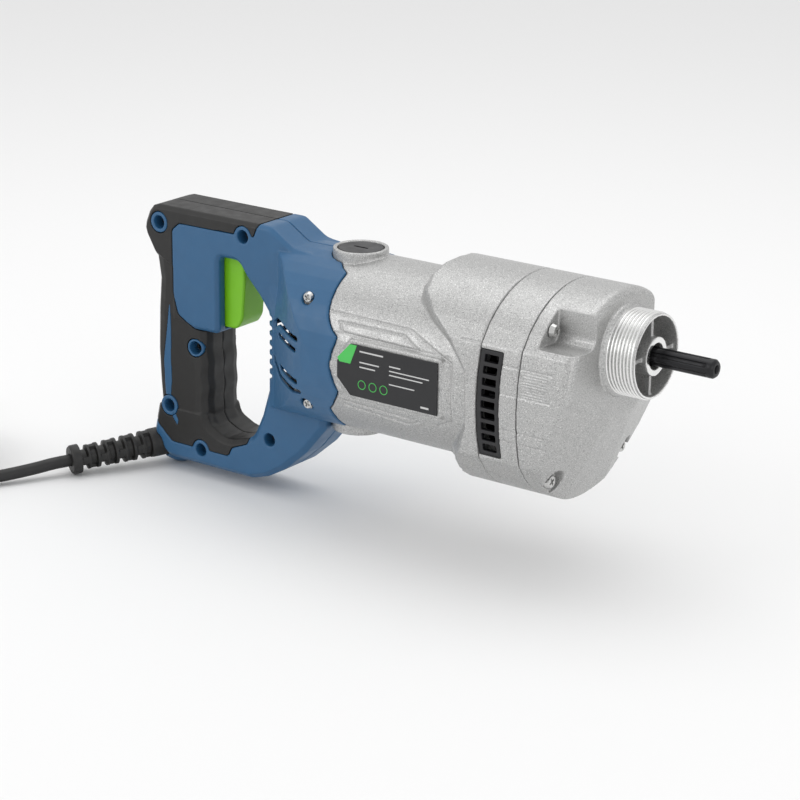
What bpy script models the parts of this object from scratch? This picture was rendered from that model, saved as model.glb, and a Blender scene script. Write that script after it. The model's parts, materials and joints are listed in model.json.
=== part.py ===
"""Hand-held concrete vibrator drive unit: D-handle, universal motor, reduction gear and threaded nose.

Sizes are in millimetres in the tool's own frame: X along the motor axis towards the nose, Z up, and
the origin on the motor axis under the brush caps. Helpers turn them into metres. The near side is -Y.
"""

import math

import bmesh
import bpy
from mathutils import Matrix, Vector

MM = 0.001
WELD = 2e-6

# Placing of the tool frame: the lowest point of the cord gland stands on Z = 0.
MOTOR_AXIS_HEIGHT = 98.5
TOOL_CENTRE_X = 37.46

# Fits
GAP = 0.3
HALF_GAP = 0.15
RUNNING_GAP = 0.1

# Nose: an M45 x 2 thread around the output shaft
OUTPUT_AXIS_Z = 25.5
NOSE_RADIUS = 22.5
NOSE_INNER_RADIUS = 20.6
NOSE_COLLAR_RADIUS = 24.05
NOSE_FRONT_X = 183.5
NOSE_FLOOR_X = 168.5
HUB_RADIUS = 10.1
HUB_BORE = 6.9
WEB_THICKNESS = 2.0
SHAFT_TIP_X = 217.4

# Gear case section
CASE_RADIUS = 57.0
CASE_CORNER = (42.0, 38.5)
CASE_SIDE_TOP = (48.3, 30.0)
CASE_HALF_WIDTH = 52.6
PARTING_REAR_X = 110.7
PARTING_FRONT_X = 135.0
COVER_FRONT_X = 165.0
COVER_SCREWS = ((-34.0, 39.5), (34.0, 39.5), (-34.0, -39.5), (34.0, -39.5))
NOTCH_FLOOR_X = 143.0

# Motor
MOTOR_RADIUS = 47.4
MOTOR_BORE = 43.5
HOUSING_REAR_X = -27.0
SPIGOT_RADIUS = 44.9
BOSS_RADIUS = 15.1
BOSS_TOP = 51.0
CORE_START_X = 28.0
CORE_END_X = 88.0
ARMATURE_RADIUS = 27.5
COMMUTATOR_RADIUS = 13.0

# Gears: module 1, centre distance 25.5
PINION_TEETH = 12
GEAR_TEETH = 39
MODULE = 1.0
GEAR_START_X = 137.0
GEAR_END_X = 146.0

# Rear cover and handle
BELL_RADIUS = 48.2
BELL_REAR_X = -50.5
SHELL_WALL = 2.8
HANDLE_HALF_WIDTH = 17.0
GRIP_HALF_WIDTH = 16.5
TOP_Z = 57.0
RUBBER_DEPTH = 2.5
GLAND_CENTRE = (-128.0, 0.0, -84.0)
GLAND_RADIUS = 14.5
HANDLE_SCREWS = ((-127.9, 47.0), (-67.9, 48.4), (-103.6, -22.0), (-122.6, -59.5), (-99.6, -81.6),
                 (-49.8, -64.7))
# The screw in the grip's own column stays inside the shell, and its boss is a little slimmer
GRIP_SCREW = 2
SCREW_BOSS_RADII = (6.0, 6.0, 5.2, 6.0, 6.0, 6.0)
COVER_LUG_SCREWS = ((-7.0, 30.0), (-7.0, -29.0))
SCREW_SHANK = 1.5
SCREW_HEAD = 3.2

# Trigger
TRIGGER_HALF_WIDTH = 9.7
TRIGGER_REAR_X = -92.0
SWITCH_FRONT_X = -100.5

# Mains lead
CORD_DIAMETER = 7.0
RELIEF_LENGTH = 60.0
RELIEF_DIRECTION = (-0.5, -0.86, -0.085)
COIL_CENTRE = (-253.7, -106.2)
COIL_RADIUS = 41.0
COIL_HALF_WIDTH = 11.5
COIL_HEIGHT = 21.5
PLUG_TAIL = (-307.0, -71.2)
PLUG_LENGTH = 42.0
FLOOR_Z = -MOTOR_AXIS_HEIGHT


# ---------------------------------------------------------------- scene and materials

for item in list(bpy.data.objects):
    bpy.data.objects.remove(item, do_unlink=True)

parts = bpy.data.collections.new("concrete_vibrator")
cutters = bpy.data.collections.new("cutters")
bpy.context.scene.collection.children.link(parts)
bpy.context.scene.collection.children.link(cutters)


def material(name, colour, roughness, metallic=0.0):
    made = bpy.data.materials.new(name)
    made.use_nodes = True
    shader = made.node_tree.nodes["Principled BSDF"]
    shader.inputs["Base Color"].default_value = (*colour, 1.0)
    shader.inputs["Roughness"].default_value = roughness
    shader.inputs["Metallic"].default_value = metallic
    return made


BLUE = material("blue_plastic", (0.045, 0.14, 0.30), 0.45)
BLACK_RUBBER = material("grip_rubber", (0.02, 0.02, 0.02), 0.7)
CAST = material("cast_aluminium", (0.50, 0.50, 0.50), 0.45, 0.9)
STEEL = material("steel", (0.55, 0.55, 0.55), 0.3, 1.0)
DARK_STEEL = material("black_oxide_steel", (0.03, 0.03, 0.03), 0.4, 0.8)
BLACK_PLASTIC = material("black_plastic", (0.02, 0.02, 0.02), 0.5)
GREEN = material("green_plastic", (0.17, 0.50, 0.01), 0.4)
COPPER = material("copper", (0.70, 0.30, 0.15), 0.35, 1.0)
BRASS = material("brass", (0.70, 0.50, 0.20), 0.3, 1.0)
CARBON = material("carbon", (0.03, 0.03, 0.03), 0.8)
LAMINATION = material("laminated_steel", (0.25, 0.25, 0.27), 0.5, 0.9)
SEAL_RUBBER = material("seal_rubber", (0.03, 0.03, 0.03), 0.8)


def axis_empty(name, location, parent=None):
    empty = bpy.data.objects.new(name, None)
    parts.objects.link(empty)
    empty.location = [value * MM for value in location]
    empty.parent = parent
    return empty


tool = axis_empty("motor_axis", (-TOOL_CENTRE_X, 0.0, MOTOR_AXIS_HEIGHT))
output_axis = axis_empty("output_axis", (0.0, 0.0, OUTPUT_AXIS_Z), tool)


# ---------------------------------------------------------------- modelling helpers

def place(name, mesh, finish, parent=tool):
    """A new object of the mesh. With no finish it is a cutter or a shape that is joined to another."""
    made = bpy.data.objects.new(name, mesh)
    made.parent = parent
    if finish is None:
        cutters.objects.link(made)
        made.hide_render = True
        made.display_type = "WIRE"
    else:
        parts.objects.link(made)
        mesh.materials.append(finish)
    return made


def from_bmesh(name, shape, finish, parent=tool):
    bmesh.ops.recalc_face_normals(shape, faces=shape.faces)
    mesh = bpy.data.meshes.new(name)
    shape.to_mesh(mesh)
    shape.free()
    return place(name, mesh, finish, parent)


def smooth(made, angle=35.0):
    made.data.shade_smooth()
    made.data.set_sharp_from_angle(angle=math.radians(angle))
    return made


def box(name, low, high, finish=None, parent=tool):
    size = Vector(high) - Vector(low)
    centre = (Vector(high) + Vector(low)) / 2
    shape = bmesh.new()
    frame = Matrix.Translation(centre * MM) @ Matrix.Diagonal((*(size * MM), 1.0))
    bmesh.ops.create_cube(shape, size=1.0, matrix=frame)
    return from_bmesh(name, shape, finish, parent)


def rod(name, start, end, radius, finish=None, parent=tool, sides=32, end_radius=None):
    """A straight round rod, or a cone, between two points."""
    start = Vector(start)
    run = Vector(end) - start
    turn = run.to_track_quat("Z", "Y").to_matrix().to_4x4()
    frame = Matrix.Translation((start + run / 2) * MM) @ turn
    shape = bmesh.new()
    bmesh.ops.create_cone(
        shape, cap_ends=True, segments=sides, radius1=radius * MM,
        radius2=(radius if end_radius is None else end_radius) * MM, depth=run.length * MM, matrix=frame)
    return from_bmesh(name, shape, finish, parent)


def frozen(made):
    """The object with its modifiers applied, so that later Booleans don't work them out again."""
    bpy.context.view_layer.update()
    evaluated = made.evaluated_get(bpy.context.evaluated_depsgraph_get())
    mesh = bpy.data.meshes.new_from_object(evaluated)
    shape = bmesh.new()
    shape.from_mesh(mesh)
    bmesh.ops.remove_doubles(shape, verts=shape.verts, dist=WELD)
    bmesh.ops.dissolve_degenerate(shape, edges=shape.edges, dist=WELD)
    shape.to_mesh(mesh)
    shape.free()
    made.modifiers.clear()
    made.data = mesh
    return made


def turned(name, profile, finish=None, parent=tool, steps=48, centre=(0.0, 0.0, 0.0), along="X"):
    """A turned piece: profile holds (place along the axis, radius), outer side first and rising.
    A profile that starts and ends on the axis is solid; any other is closed into a ring."""
    solid = profile[0][1] == 0 and profile[-1][1] == 0
    points = [(radius * MM, 0.0, place_on * MM) for place_on, radius in reversed(profile)]
    edges = [(i, i + 1) for i in range(len(points) - 1)]
    if not solid:
        edges.append((len(points) - 1, 0))
    mesh = bpy.data.meshes.new(name)
    mesh.from_pydata(points, edges, [])
    made = place(name, mesh, finish, parent)
    made.location = [value * MM for value in centre]
    if along == "X":
        made.rotation_euler = (0.0, math.pi / 2, 0.0)
    screw = made.modifiers.new("turn", "SCREW")
    screw.steps = steps
    screw.render_steps = steps
    screw.use_merge_vertices = True
    screw.merge_threshold = 0.00001
    screw.use_smooth_shade = True
    if finish is None:
        flattened(frozen(made))
    return made


def flattened(made):
    """Merges the flat end faces that a turned shape leaves as fans of triangles."""
    shape = bmesh.new()
    shape.from_mesh(made.data)
    bmesh.ops.remove_doubles(shape, verts=shape.verts, dist=1e-7)
    bmesh.ops.dissolve_limit(
        shape, angle_limit=math.radians(0.1), verts=shape.verts, edges=shape.edges)
    bmesh.ops.recalc_face_normals(shape, faces=shape.faces)
    shape.to_mesh(made.data)
    shape.free()
    return made


def ring(name, start, end, inner, outer, finish=None, parent=tool, steps=48, centre=(0.0, 0.0, 0.0),
         along="X"):
    profile = [(start, outer), (end, outer), (end, inner), (start, inner)]
    return turned(name, profile, finish, parent, steps, centre, along)


def rounded(corners, steps=3):
    """A closed outline. A corner (u, v, radius) becomes an arc; a corner (u, v) stays sharp."""
    outline = []
    count = len(corners)
    for i, corner in enumerate(corners):
        here = Vector(corner[:2])
        if len(corner) < 3:
            outline.append(here)
            continue
        back = Vector(corners[i - 1][:2]) - here
        ahead = Vector(corners[(i + 1) % count][:2]) - here
        half_angle = back.angle(ahead) / 2
        reach = min(corner[2] / math.tan(half_angle), 0.48 * back.length, 0.48 * ahead.length)
        radius = reach * math.tan(half_angle)
        first = here + back.normalized() * reach
        middle = here + (back.normalized() + ahead.normalized()).normalized() * (
            radius / math.sin(half_angle))
        turn = math.pi - 2 * half_angle
        sign = 1.0 if back.x * ahead.y - back.y * ahead.x < 0 else -1.0
        for step in range(steps + 1):
            spoke = Matrix.Rotation(sign * turn * step / steps, 2) @ (first - middle)
            outline.append(middle + spoke)
    return [(point.x, point.y) for point in outline]


def offset(outline, distance):
    """The outline moved inwards by the distance."""
    area = sum(
        a[0] * b[1] - b[0] * a[1] for a, b in zip(outline, outline[1:] + outline[:1]))
    inward = distance if area > 0 else -distance
    moved = []
    count = len(outline)
    for i in range(count):
        here = Vector(outline[i])
        before = (here - Vector(outline[i - 1])).normalized()
        after = (Vector(outline[(i + 1) % count]) - here).normalized()
        normal_before = Vector((-before.y, before.x))
        normal_after = Vector((-after.y, after.x))
        mitre = (normal_before + normal_after).normalized()
        moved.append(tuple(here + mitre * (inward / mitre.dot(normal_after))))
    return moved


AXES = {
    "X": Matrix(((0, 0, 1), (1, 0, 0), (0, 1, 0))),
    "Y": Matrix(((1, 0, 0), (0, 0, -1), (0, 1, 0))),
    "Z": Matrix.Identity(3),
}


def flat(name, outlines, along, low, high, finish=None, parent=tool, bevel=0.0, segments=2):
    """A flat piece from closed outlines, the second and later ones being holes, between two places on
    an axis. The outline's own axes are (y, z) along X, (x, z) along Y and (x, y) along Z."""
    curve = bpy.data.curves.new(name, "CURVE")
    curve.dimensions = "2D"
    curve.fill_mode = "BOTH"
    curve.extrude = (high - low) / 2 * MM
    for outline in outlines:
        spline = curve.splines.new("POLY")
        spline.points.add(len(outline) - 1)
        for point, (u, v) in zip(spline.points, outline):
            point.co = (u * MM, v * MM, 0.0, 1.0)
        spline.use_cyclic_u = True
    sheet = bpy.data.objects.new(name, curve)
    bpy.context.scene.collection.objects.link(sheet)
    evaluated = sheet.evaluated_get(bpy.context.evaluated_depsgraph_get())
    mesh = bpy.data.meshes.new_from_object(evaluated)
    bpy.data.objects.remove(sheet, do_unlink=True)
    bpy.data.curves.remove(curve)
    turn = AXES[along]
    middle = turn @ Vector((0.0, 0.0, 1.0)) * ((high + low) / 2 * MM)
    if along == "Y":
        middle = -middle
    shape = bmesh.new()
    shape.from_mesh(mesh)
    bpy.data.meshes.remove(mesh)
    bmesh.ops.remove_doubles(shape, verts=shape.verts, dist=1e-7)
    bmesh.ops.transform(shape, matrix=Matrix.Translation(middle) @ turn.to_4x4(), verts=shape.verts)
    bmesh.ops.dissolve_limit(
        shape, angle_limit=math.radians(0.1), verts=shape.verts, edges=shape.edges)
    made = from_bmesh(name, shape, finish, parent)
    if bevel:
        rim = made.modifiers.new("rim", "BEVEL")
        rim.width = bevel * MM
        rim.segments = segments
        rim.limit_method = "ANGLE"
        rim.angle_limit = math.radians(60)
    return made


def loft(name, rings, finish=None, parent=tool, closed=False):
    """Skins rings of the same number of points. A closed loft joins its last ring to its first."""
    shape = bmesh.new()
    rows = [[shape.verts.new(Vector(point) * MM) for point in points] for points in rings]
    pairs = list(zip(rows, rows[1:]))
    if closed:
        pairs.append((rows[-1], rows[0]))
    else:
        shape.faces.new(rows[0])
        shape.faces.new(rows[-1])
    for first, second in pairs:
        count = len(first)
        for i in range(count):
            after = (i + 1) % count
            shape.faces.new((first[i], first[after], second[after], second[i]))
    quads = [face for face in shape.faces if len(face.verts) == 4]
    bmesh.ops.triangulate(shape, faces=quads, quad_method="FIXED")
    return from_bmesh(name, shape, finish, parent)


def boolean(target, operation, others):
    for other in others:
        step = target.modifiers.new(operation.lower(), "BOOLEAN")
        step.operation = operation
        step.solver = "EXACT"
        step.object = other
    return target


def cut(target, *others):
    return boolean(target, "DIFFERENCE", others)


def join(target, *others):
    return boolean(target, "UNION", others)


def keep(target, *others):
    return boolean(target, "INTERSECT", others)


def mirrored(points):
    """The outline's other half, for an outline whose first half runs along one side of v = 0."""
    return points + [(u, -v) for u, v in reversed(points)]


# ---------------------------------------------------------------- gear case section

def arc(centre, radius, start, end, steps):
    """Points on an arc, angles in degrees from the first axis."""
    angles = [math.radians(start + (end - start) * i / steps) for i in range(steps + 1)]
    return [(centre[0] + radius * math.cos(a), centre[1] + radius * math.sin(a)) for a in angles]


def case_section(top_steps=8, side_steps=4):
    """The gear case in (y, z): two arcs about the motor axis, four facets and two flatter side arcs."""
    corner = math.degrees(math.atan2(CASE_CORNER[1], CASE_CORNER[0]))
    bulge = CASE_HALF_WIDTH - CASE_SIDE_TOP[0]
    side_radius = (CASE_SIDE_TOP[1] ** 2 + bulge ** 2) / (2 * bulge)
    side_centre = CASE_HALF_WIDTH - side_radius
    side = math.degrees(math.asin(CASE_SIDE_TOP[1] / side_radius))
    return (arc((0, 0), CASE_RADIUS, corner, 180 - corner, top_steps)
            + arc((-side_centre, 0), side_radius, 180 - side, 180 + side, side_steps)
            + arc((0, 0), CASE_RADIUS, 180 + corner, 360 - corner, top_steps)
            + arc((side_centre, 0), side_radius, -side, side, side_steps))


# ---------------------------------------------------------------- gears

PRESSURE_ANGLE = math.radians(20)
BACKLASH = 0.24


def involute(angle):
    return math.tan(angle) - angle


def gear_outline(teeth, addendum=0.85, dedendum=1.25, flank_steps=3):
    """An involute gear about the origin, with a tooth pointing along +v."""
    pitch = MODULE * teeth / 2
    base = pitch * math.cos(PRESSURE_ANGLE)
    root = pitch - dedendum
    tip = pitch + addendum
    half_tooth = math.pi / (2 * teeth) - BACKLASH / (2 * pitch)
    start = max(base, root) + 0.01
    flank = []
    for i in range(flank_steps + 1):
        radius = start + (tip - start) * i / flank_steps
        pressure = math.acos(base / radius)
        flank.append((radius, half_tooth + involute(PRESSURE_ANGLE) - involute(pressure)))
    flank.insert(0, (root, flank[0][1]))
    outline = []
    for tooth in range(teeth):
        middle = math.pi / 2 + 2 * math.pi * tooth / teeth
        for radius, half in flank:
            outline.append((radius * math.cos(middle - half), radius * math.sin(middle - half)))
        for radius, half in reversed(flank):
            outline.append((radius * math.cos(middle + half), radius * math.sin(middle + half)))
    return outline


def circle(radius, count=32, centre=(0.0, 0.0)):
    return [(centre[0] + radius * math.cos(2 * math.pi * i / count),
             centre[1] + radius * math.sin(2 * math.pi * i / count)) for i in range(count)]


# ---------------------------------------------------------------- rear cover edge

# The wavy front edge of the blue cover: (degrees from the top, x)
COVER_EDGE = ((0, -8.0), (17, -4.0), (20, 3.0), (24, 6.5), (42, 6.6), (54, 8.0), (60, 8.2), (66, 13.4),
              (72, 18.0), (78, 17.6), (83, 14.3), (96, 14.4), (101, 16.6), (107, 19.0), (119, 13.3),
              (123, 8.5), (130, 8.5), (150, 7.0), (156, 6.5), (160, 3.0), (163, -4.0), (180, -8.0))


def cover_edge_x(degrees_from_top):
    turn = abs((degrees_from_top + 180) % 360 - 180)
    for (a, x_a), (b, x_b) in zip(COVER_EDGE, COVER_EDGE[1:]):
        if turn <= b:
            return x_a + (x_b - x_a) * (turn - a) / (b - a)
    return COVER_EDGE[-1][1]


def in_front_of_edge(name, shift, inner=36.0, outer=62.0, front=60.0, count=40):
    """A tube whose rear end follows the cover's front edge, moved forward by shift."""
    rings = []
    for radius, at_front in ((inner, False), (outer, False), (outer, True), (inner, True)):
        points = []
        for i in range(count):
            turn = 360 * i / count
            x = front if at_front else cover_edge_x(turn) + shift
            a = math.radians(turn)
            points.append((x, -radius * math.sin(a), radius * math.cos(a)))
        rings.append(points)
    return loft(name, rings, closed=True)


# Half of the rear cover's plan outline, (x, half width)
COVER_PLAN = ((-50.5, 15.5), (-49.0, 17.0), (-43.0, 17.4), (-36.0, 23.0), (-28.0, 31.0), (-20.0, 38.0),
              (-12.0, 43.5), (-4.0, 47.0), (4.0, 48.6), (24.0, 48.6))
# The half widths below the shoulders, where the flanks run on to the rear wall
LOW_HALF_WIDTHS = (15.5, 17.1, 20.6, 26.2, 32.4, 38.4, 43.5, 47.0, 48.6, 48.6)
# How far up the plan has changed from the low one to the upper one, as (z, share)
SHOULDER = ((-60.0, 0.0), (4.0, 0.0), (14.0, 0.35), (24.0, 1.0), (60.0, 1.0))


# ---------------------------------------------------------------- handle and rear cover

ARM_OUTLINE = ((-20, 46), (-34, 47.6, 12), (-49, 57, 6), (-134, 57, 8), (-140.2, 42, 8), (-132, 28, 6),
               (-120, 22), (-120, -9), (-98.7, -11, 3), (-86, -11, 3), (-86, 34, 3), (-72, 34, 6),
               (-66, 25.7, 10), (-57.2, 16.8, 10), (-49.2, 6, 6), (-49.2, 0), (-20, 0))
LOWER_OUTLINE = ((-12, -40), (-12, -51), (-26, -68, 10), (-41, -81, 12), (-53, -87.8, 8), (-64, -91.2, 8),
                 (-126, -91.2, 8), (-136, -78, 6), (-131.6, -58), (-97, -58), (-95, -66, 6),
                 (-82, -72.2, 12), (-63, -67, 9), (-56.3, -52, 10), (-49.2, -28, 6), (-49.2, -5),
                 (-12, -5))
# Grip sections: (z, front x, back x)
GRIP_SECTIONS = ((-70, -91.0, -132.6), (-62, -96.0, -131.6), (-46, -95.2, -133.0), (-28, -95.6, -133.8),
                 (-4, -97.0, -133.0), (14, -97.0, -131.6), (33, -97.0, -134.5))
GRIP_CORNER = 8.0
RUBBER_REGION = ((-54, 64), (-60.5, 49, 2), (-113.6, 48.4, 4), (-118.4, 44, 3), (-118.4, 8, 4),
                 (-115, -4, 5), (-103, -10.8, 8), (-82, -13.5), (-82, -40), (-66, -60), (-66, -71),
                 (-77, -75.5, 3), (-79.4, -81, 3), (-121, -81, 4), (-133, -70.5, 3), (-150, -66),
                 (-150, 64))


def grip_ring(z, front, back, half_width, corner, steps=3):
    corners = ((front, -half_width, corner), (front, half_width, corner),
               (back, half_width, corner), (back, -half_width, corner))
    return [(x, y, z) for x, y in rounded(corners, steps)]


def handle_core(name, inset):
    """The D-handle without the rear cover, shrunk on every side by the inset."""
    half = HANDLE_HALF_WIDTH - inset
    arm = flat(name + "_arm", [offset(rounded(ARM_OUTLINE, 2), inset)], "Y", -half, half,
               bevel=0.0 if inset else 2.2, segments=1)
    lower = flat(name + "_lower", [offset(rounded(LOWER_OUTLINE, 2), inset)], "Y", -half, half,
                 bevel=0.0 if inset else 3.0, segments=1)
    grip = loft(name, [
        grip_ring(z, front - inset, back + inset, GRIP_HALF_WIDTH - inset, GRIP_CORNER - inset)
        for z, front, back in GRIP_SECTIONS])
    return frozen(join(grip, arm, lower))


def cover_shape(name, inset, front):
    """The rear cover's solid, shrunk by the inset: its changing plan kept inside a cylinder."""
    rings = []
    for z, share in SHOULDER:
        plan = []
        for (x, upper), lower in zip(COVER_PLAN, LOW_HALF_WIDTHS):
            plan.append((min(x, front), lower + (upper - lower) * share - inset))
        plan[0] = (BELL_REAR_X + inset, plan[0][1])
        plan[1] = (BELL_REAR_X + inset + 1.5, plan[1][1])
        plan[-1] = (front, plan[-1][1])
        rings.append([(x, y, z) for x, y in mirrored(plan)])
    body = loft(name, rings)
    barrel = turned(name + "_barrel", [(-60, 0), (-60, BELL_RADIUS - inset), (60, BELL_RADIUS - inset),
                                       (60, 0)], steps=40)
    return keep(body, barrel)


def screw_columns(name, grow=0.0):
    """Round bosses across the handle at each of its screws."""
    half = HANDLE_HALF_WIDTH + 0.2 + 3 * grow
    return [rod(f"{name}_{i}", (x, -half, z), (x, half, z), radius + grow, sides=16)
            for i, ((x, z), radius) in enumerate(zip(HANDLE_SCREWS, SCREW_BOSS_RADII))]


def cavity():
    """Room inside the handle for the switch and its wires, broken by the screw columns."""
    outline = rounded(((-125, -60, 3), (-103, -60, 3), (-103, -14, 2), (-90, -7), (-90, 38.5),
                       (-40, 38.5), (-40, 45), (-52, 50.5, 2), (-124, 50.5, 3), (-127, 40, 3)))
    room = flat("handle_room", [outline], "Y", -10.8, 10.8)
    for i, (x, z) in enumerate(HANDLE_SCREWS):
        cut(room, rod(f"column_{i}", (x, -14, z), (x, 14, z), 4.6, sides=8))
    return room


def louvres():
    """Two pairs of air slots in each flank of the rear cover."""
    shapes = (
        ((-45.5, 0.5), (-45.5, 5, 3), (-38.5, 9.6, 5), (-8, 9.6), (-8, 6.8), (-36, 6.8, 4),
         (-41, 3.5, 2), (-41, 0.5)),
        ((-35.5, 3.1), (-10, 3.1), (-10, 0.3), (-35.5, 0.3)),
        ((-34.5, -14.2), (-8.5, -14.2), (-8.5, -17), (-31, -17)),
        ((-44.5, -13.5), (-44.5, -16.5, 3), (-33, -22.6, 5), (-7.5, -22.6), (-7.5, -19.8),
         (-31, -19.8, 4), (-40.3, -15, 2), (-40.3, -13.5)))
    cuts = []
    for side in (-1, 1):
        for i, corners in enumerate(shapes):
            low, high = sorted((side * 18.5, side * 60.0))
            cuts.append(flat(f"louvre_{side}_{i}", [rounded(corners, 2)], "Y", low, high))
    return cuts


VENT_SLOTS = 7
VENT_PITCH = 5.5
VENT_HEIGHT = 2.8
VENT_TOP_Z = 5.6


def vent_slots():
    """Air slots through the cover's rear wall."""
    return [box(f"vent_slot_{i}", (-60, -27, VENT_TOP_Z - i * VENT_PITCH - VENT_HEIGHT / 2),
                (-46.3, 27, VENT_TOP_Z - i * VENT_PITCH + VENT_HEIGHT / 2)) for i in range(VENT_SLOTS)]


def screw_holes():
    holes = []
    for i, (x, z) in enumerate(HANDLE_SCREWS):
        holes.append(rod(f"head_hole_{i}", (x, -24, z), (x, -12.2, z), SCREW_HEAD + 0.5, sides=12))
        holes.append(rod(f"shank_hole_{i}", (x, -20, z), (x, 12.5, z), SCREW_SHANK + 0.3, sides=8))
    for i, (x, z) in enumerate(COVER_LUG_SCREWS):
        holes.append(rod(f"lug_head_hole_{i}", (x, -60, z), (x, -35.4, z), SCREW_HEAD + 0.7, sides=12))
        holes.append(rod(f"lug_shank_hole_{i}", (x, -50, z), (x, -25, z), SCREW_SHANK + 0.3, sides=8))
    return holes


def boss_holes(name, radius):
    return [rod(f"{name}_{side}", (0, 0, side * 30), (0, 0, side * 70), radius, sides=32)
            for side in (-1, 1)]


def relief_point(distance):
    """A point on the strain relief's line, measured from the gland's centre."""
    return Vector(GLAND_CENTRE) + Vector(RELIEF_DIRECTION).normalized() * distance


def build_handle():
    whole = handle_core("handle_whole", 0.0)
    cover = cut(cover_shape("rear_cover", 0.0, 24.0), in_front_of_edge("cover_edge", 0.0))
    shape = bmesh.new()
    bmesh.ops.create_uvsphere(shape, u_segments=16, v_segments=8, radius=GLAND_RADIUS * MM,
                              matrix=Matrix.Translation(Vector(GLAND_CENTRE) * MM))
    gland = from_bmesh("gland", shape, None)
    join(whole, cover, gland)
    frozen(whole)

    region = rounded(RUBBER_REGION)
    shell = place("handle_left", whole.data.copy(), BLUE)
    cut(shell, flat("rubber_bed", [region], "Y", -40, 40))
    columns = screw_columns("screw_boss")
    frozen(keep(columns[GRIP_SCREW], whole))
    join(shell, handle_core("shell_core", RUBBER_DEPTH + GAP), *columns)
    frozen(shell)
    relief_seat = rod("relief_seat", relief_point(6), relief_point(30), 8.7, sides=32)
    cable_way = rod("cable_way", (-119, 0, -55), GLAND_CENTRE, 4.3, sides=20)
    half_window = TRIGGER_HALF_WIDTH + GAP
    cut(shell, cavity(), cover_shape("cover_room", SHELL_WALL, 40.0), relief_seat, cable_way,
        box("trigger_window", (-92.5, -half_window, -8.6), (-71.5, half_window, 36)),
        *louvres(), *vent_slots(), *screw_holes(), *boss_holes("boss_clearance", BOSS_RADIUS + GAP))
    frozen(shell)

    rubber = place("grip_rubber_left", whole.data.copy(), BLACK_RUBBER)
    keep(rubber, flat("rubber_outline", [offset(region, GAP)], "Y", -40, 40))
    cut(rubber, handle_core("rubber_core", RUBBER_DEPTH), *screw_columns("boss_in_rubber", GAP),
        rod("gland_clearance", relief_point(5), relief_point(31), 9.0, sides=32))
    frozen(rubber)

    half_space = box("near_half", (-200, -100, -150), (100, -HALF_GAP, 150))
    far_space = box("far_half", (-200, HALF_GAP, -150), (100, 100, 150))
    for near, name, finish in ((shell, "handle_right", BLUE), (rubber, "grip_rubber_right", BLACK_RUBBER)):
        far = place(name, near.data.copy(), finish)
        keep(near, half_space)
        keep(far, far_space)
        smooth(frozen(near))
        smooth(frozen(far))


# ---------------------------------------------------------------- motor housing

# Where the housing starts and ends widening into the gear case: (degrees from the top, start x, end x)
FLARE = ((0, 50, 66.5), (15, 54, 64), (30, 54, 65), (38, 59.6, 69), (48, 70.6, 79), (58, 85.4, 91.5),
         (64, 93.3, 101), (74, 98.6, 104), (86, 100.6, 105.5), (106, 99.8, 105), (120, 93, 99),
         (136, 80.8, 94), (160, 70, 92), (180, 68, 92))


def flare_at(turn):
    for (a, start_a, end_a), (b, start_b, end_b) in zip(FLARE, FLARE[1:]):
        if turn <= b:
            share = (turn - a) / (b - a)
            return start_a + (start_b - start_a) * share, end_a + (end_b - end_a) * share
    return FLARE[-1][1:]


def motor_body():
    """The motor tube, widening along a wavy line into the gear case's section."""
    section = case_section()
    front = PARTING_REAR_X - HALF_GAP
    stages = [(HOUSING_REAR_X, None, 0.0), (30.0, None, 0.0)]
    stages += [(None, share, rise) for share, rise in ((0, 0.0), (0.3, 0.16), (0.7, 0.84), (1, 1.0))]
    stages += [(front, None, 1.0)]
    rings = []
    for fixed_x, share, rise in stages:
        points = []
        for y, z in section:
            reach = math.hypot(y, z)
            start, end = flare_at(math.degrees(math.atan2(abs(y), z)))
            x = fixed_x if share is None else start + (end - start) * share
            radius = MOTOR_RADIUS + (reach - MOTOR_RADIUS) * rise
            points.append((x, y / reach * radius, z / reach * radius))
        rings.append(points)
    return loft("motor_housing", rings, CAST)


LABEL_PLATE = ((29.0, 14.0), (84.0, 14.0), (84.0, -14.0), (29.0, -14.0), (20.4, -5.5), (20.4, 3.5))
LABEL_BED_Y = -46.8
LABEL_THICKNESS = 0.5


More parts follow.
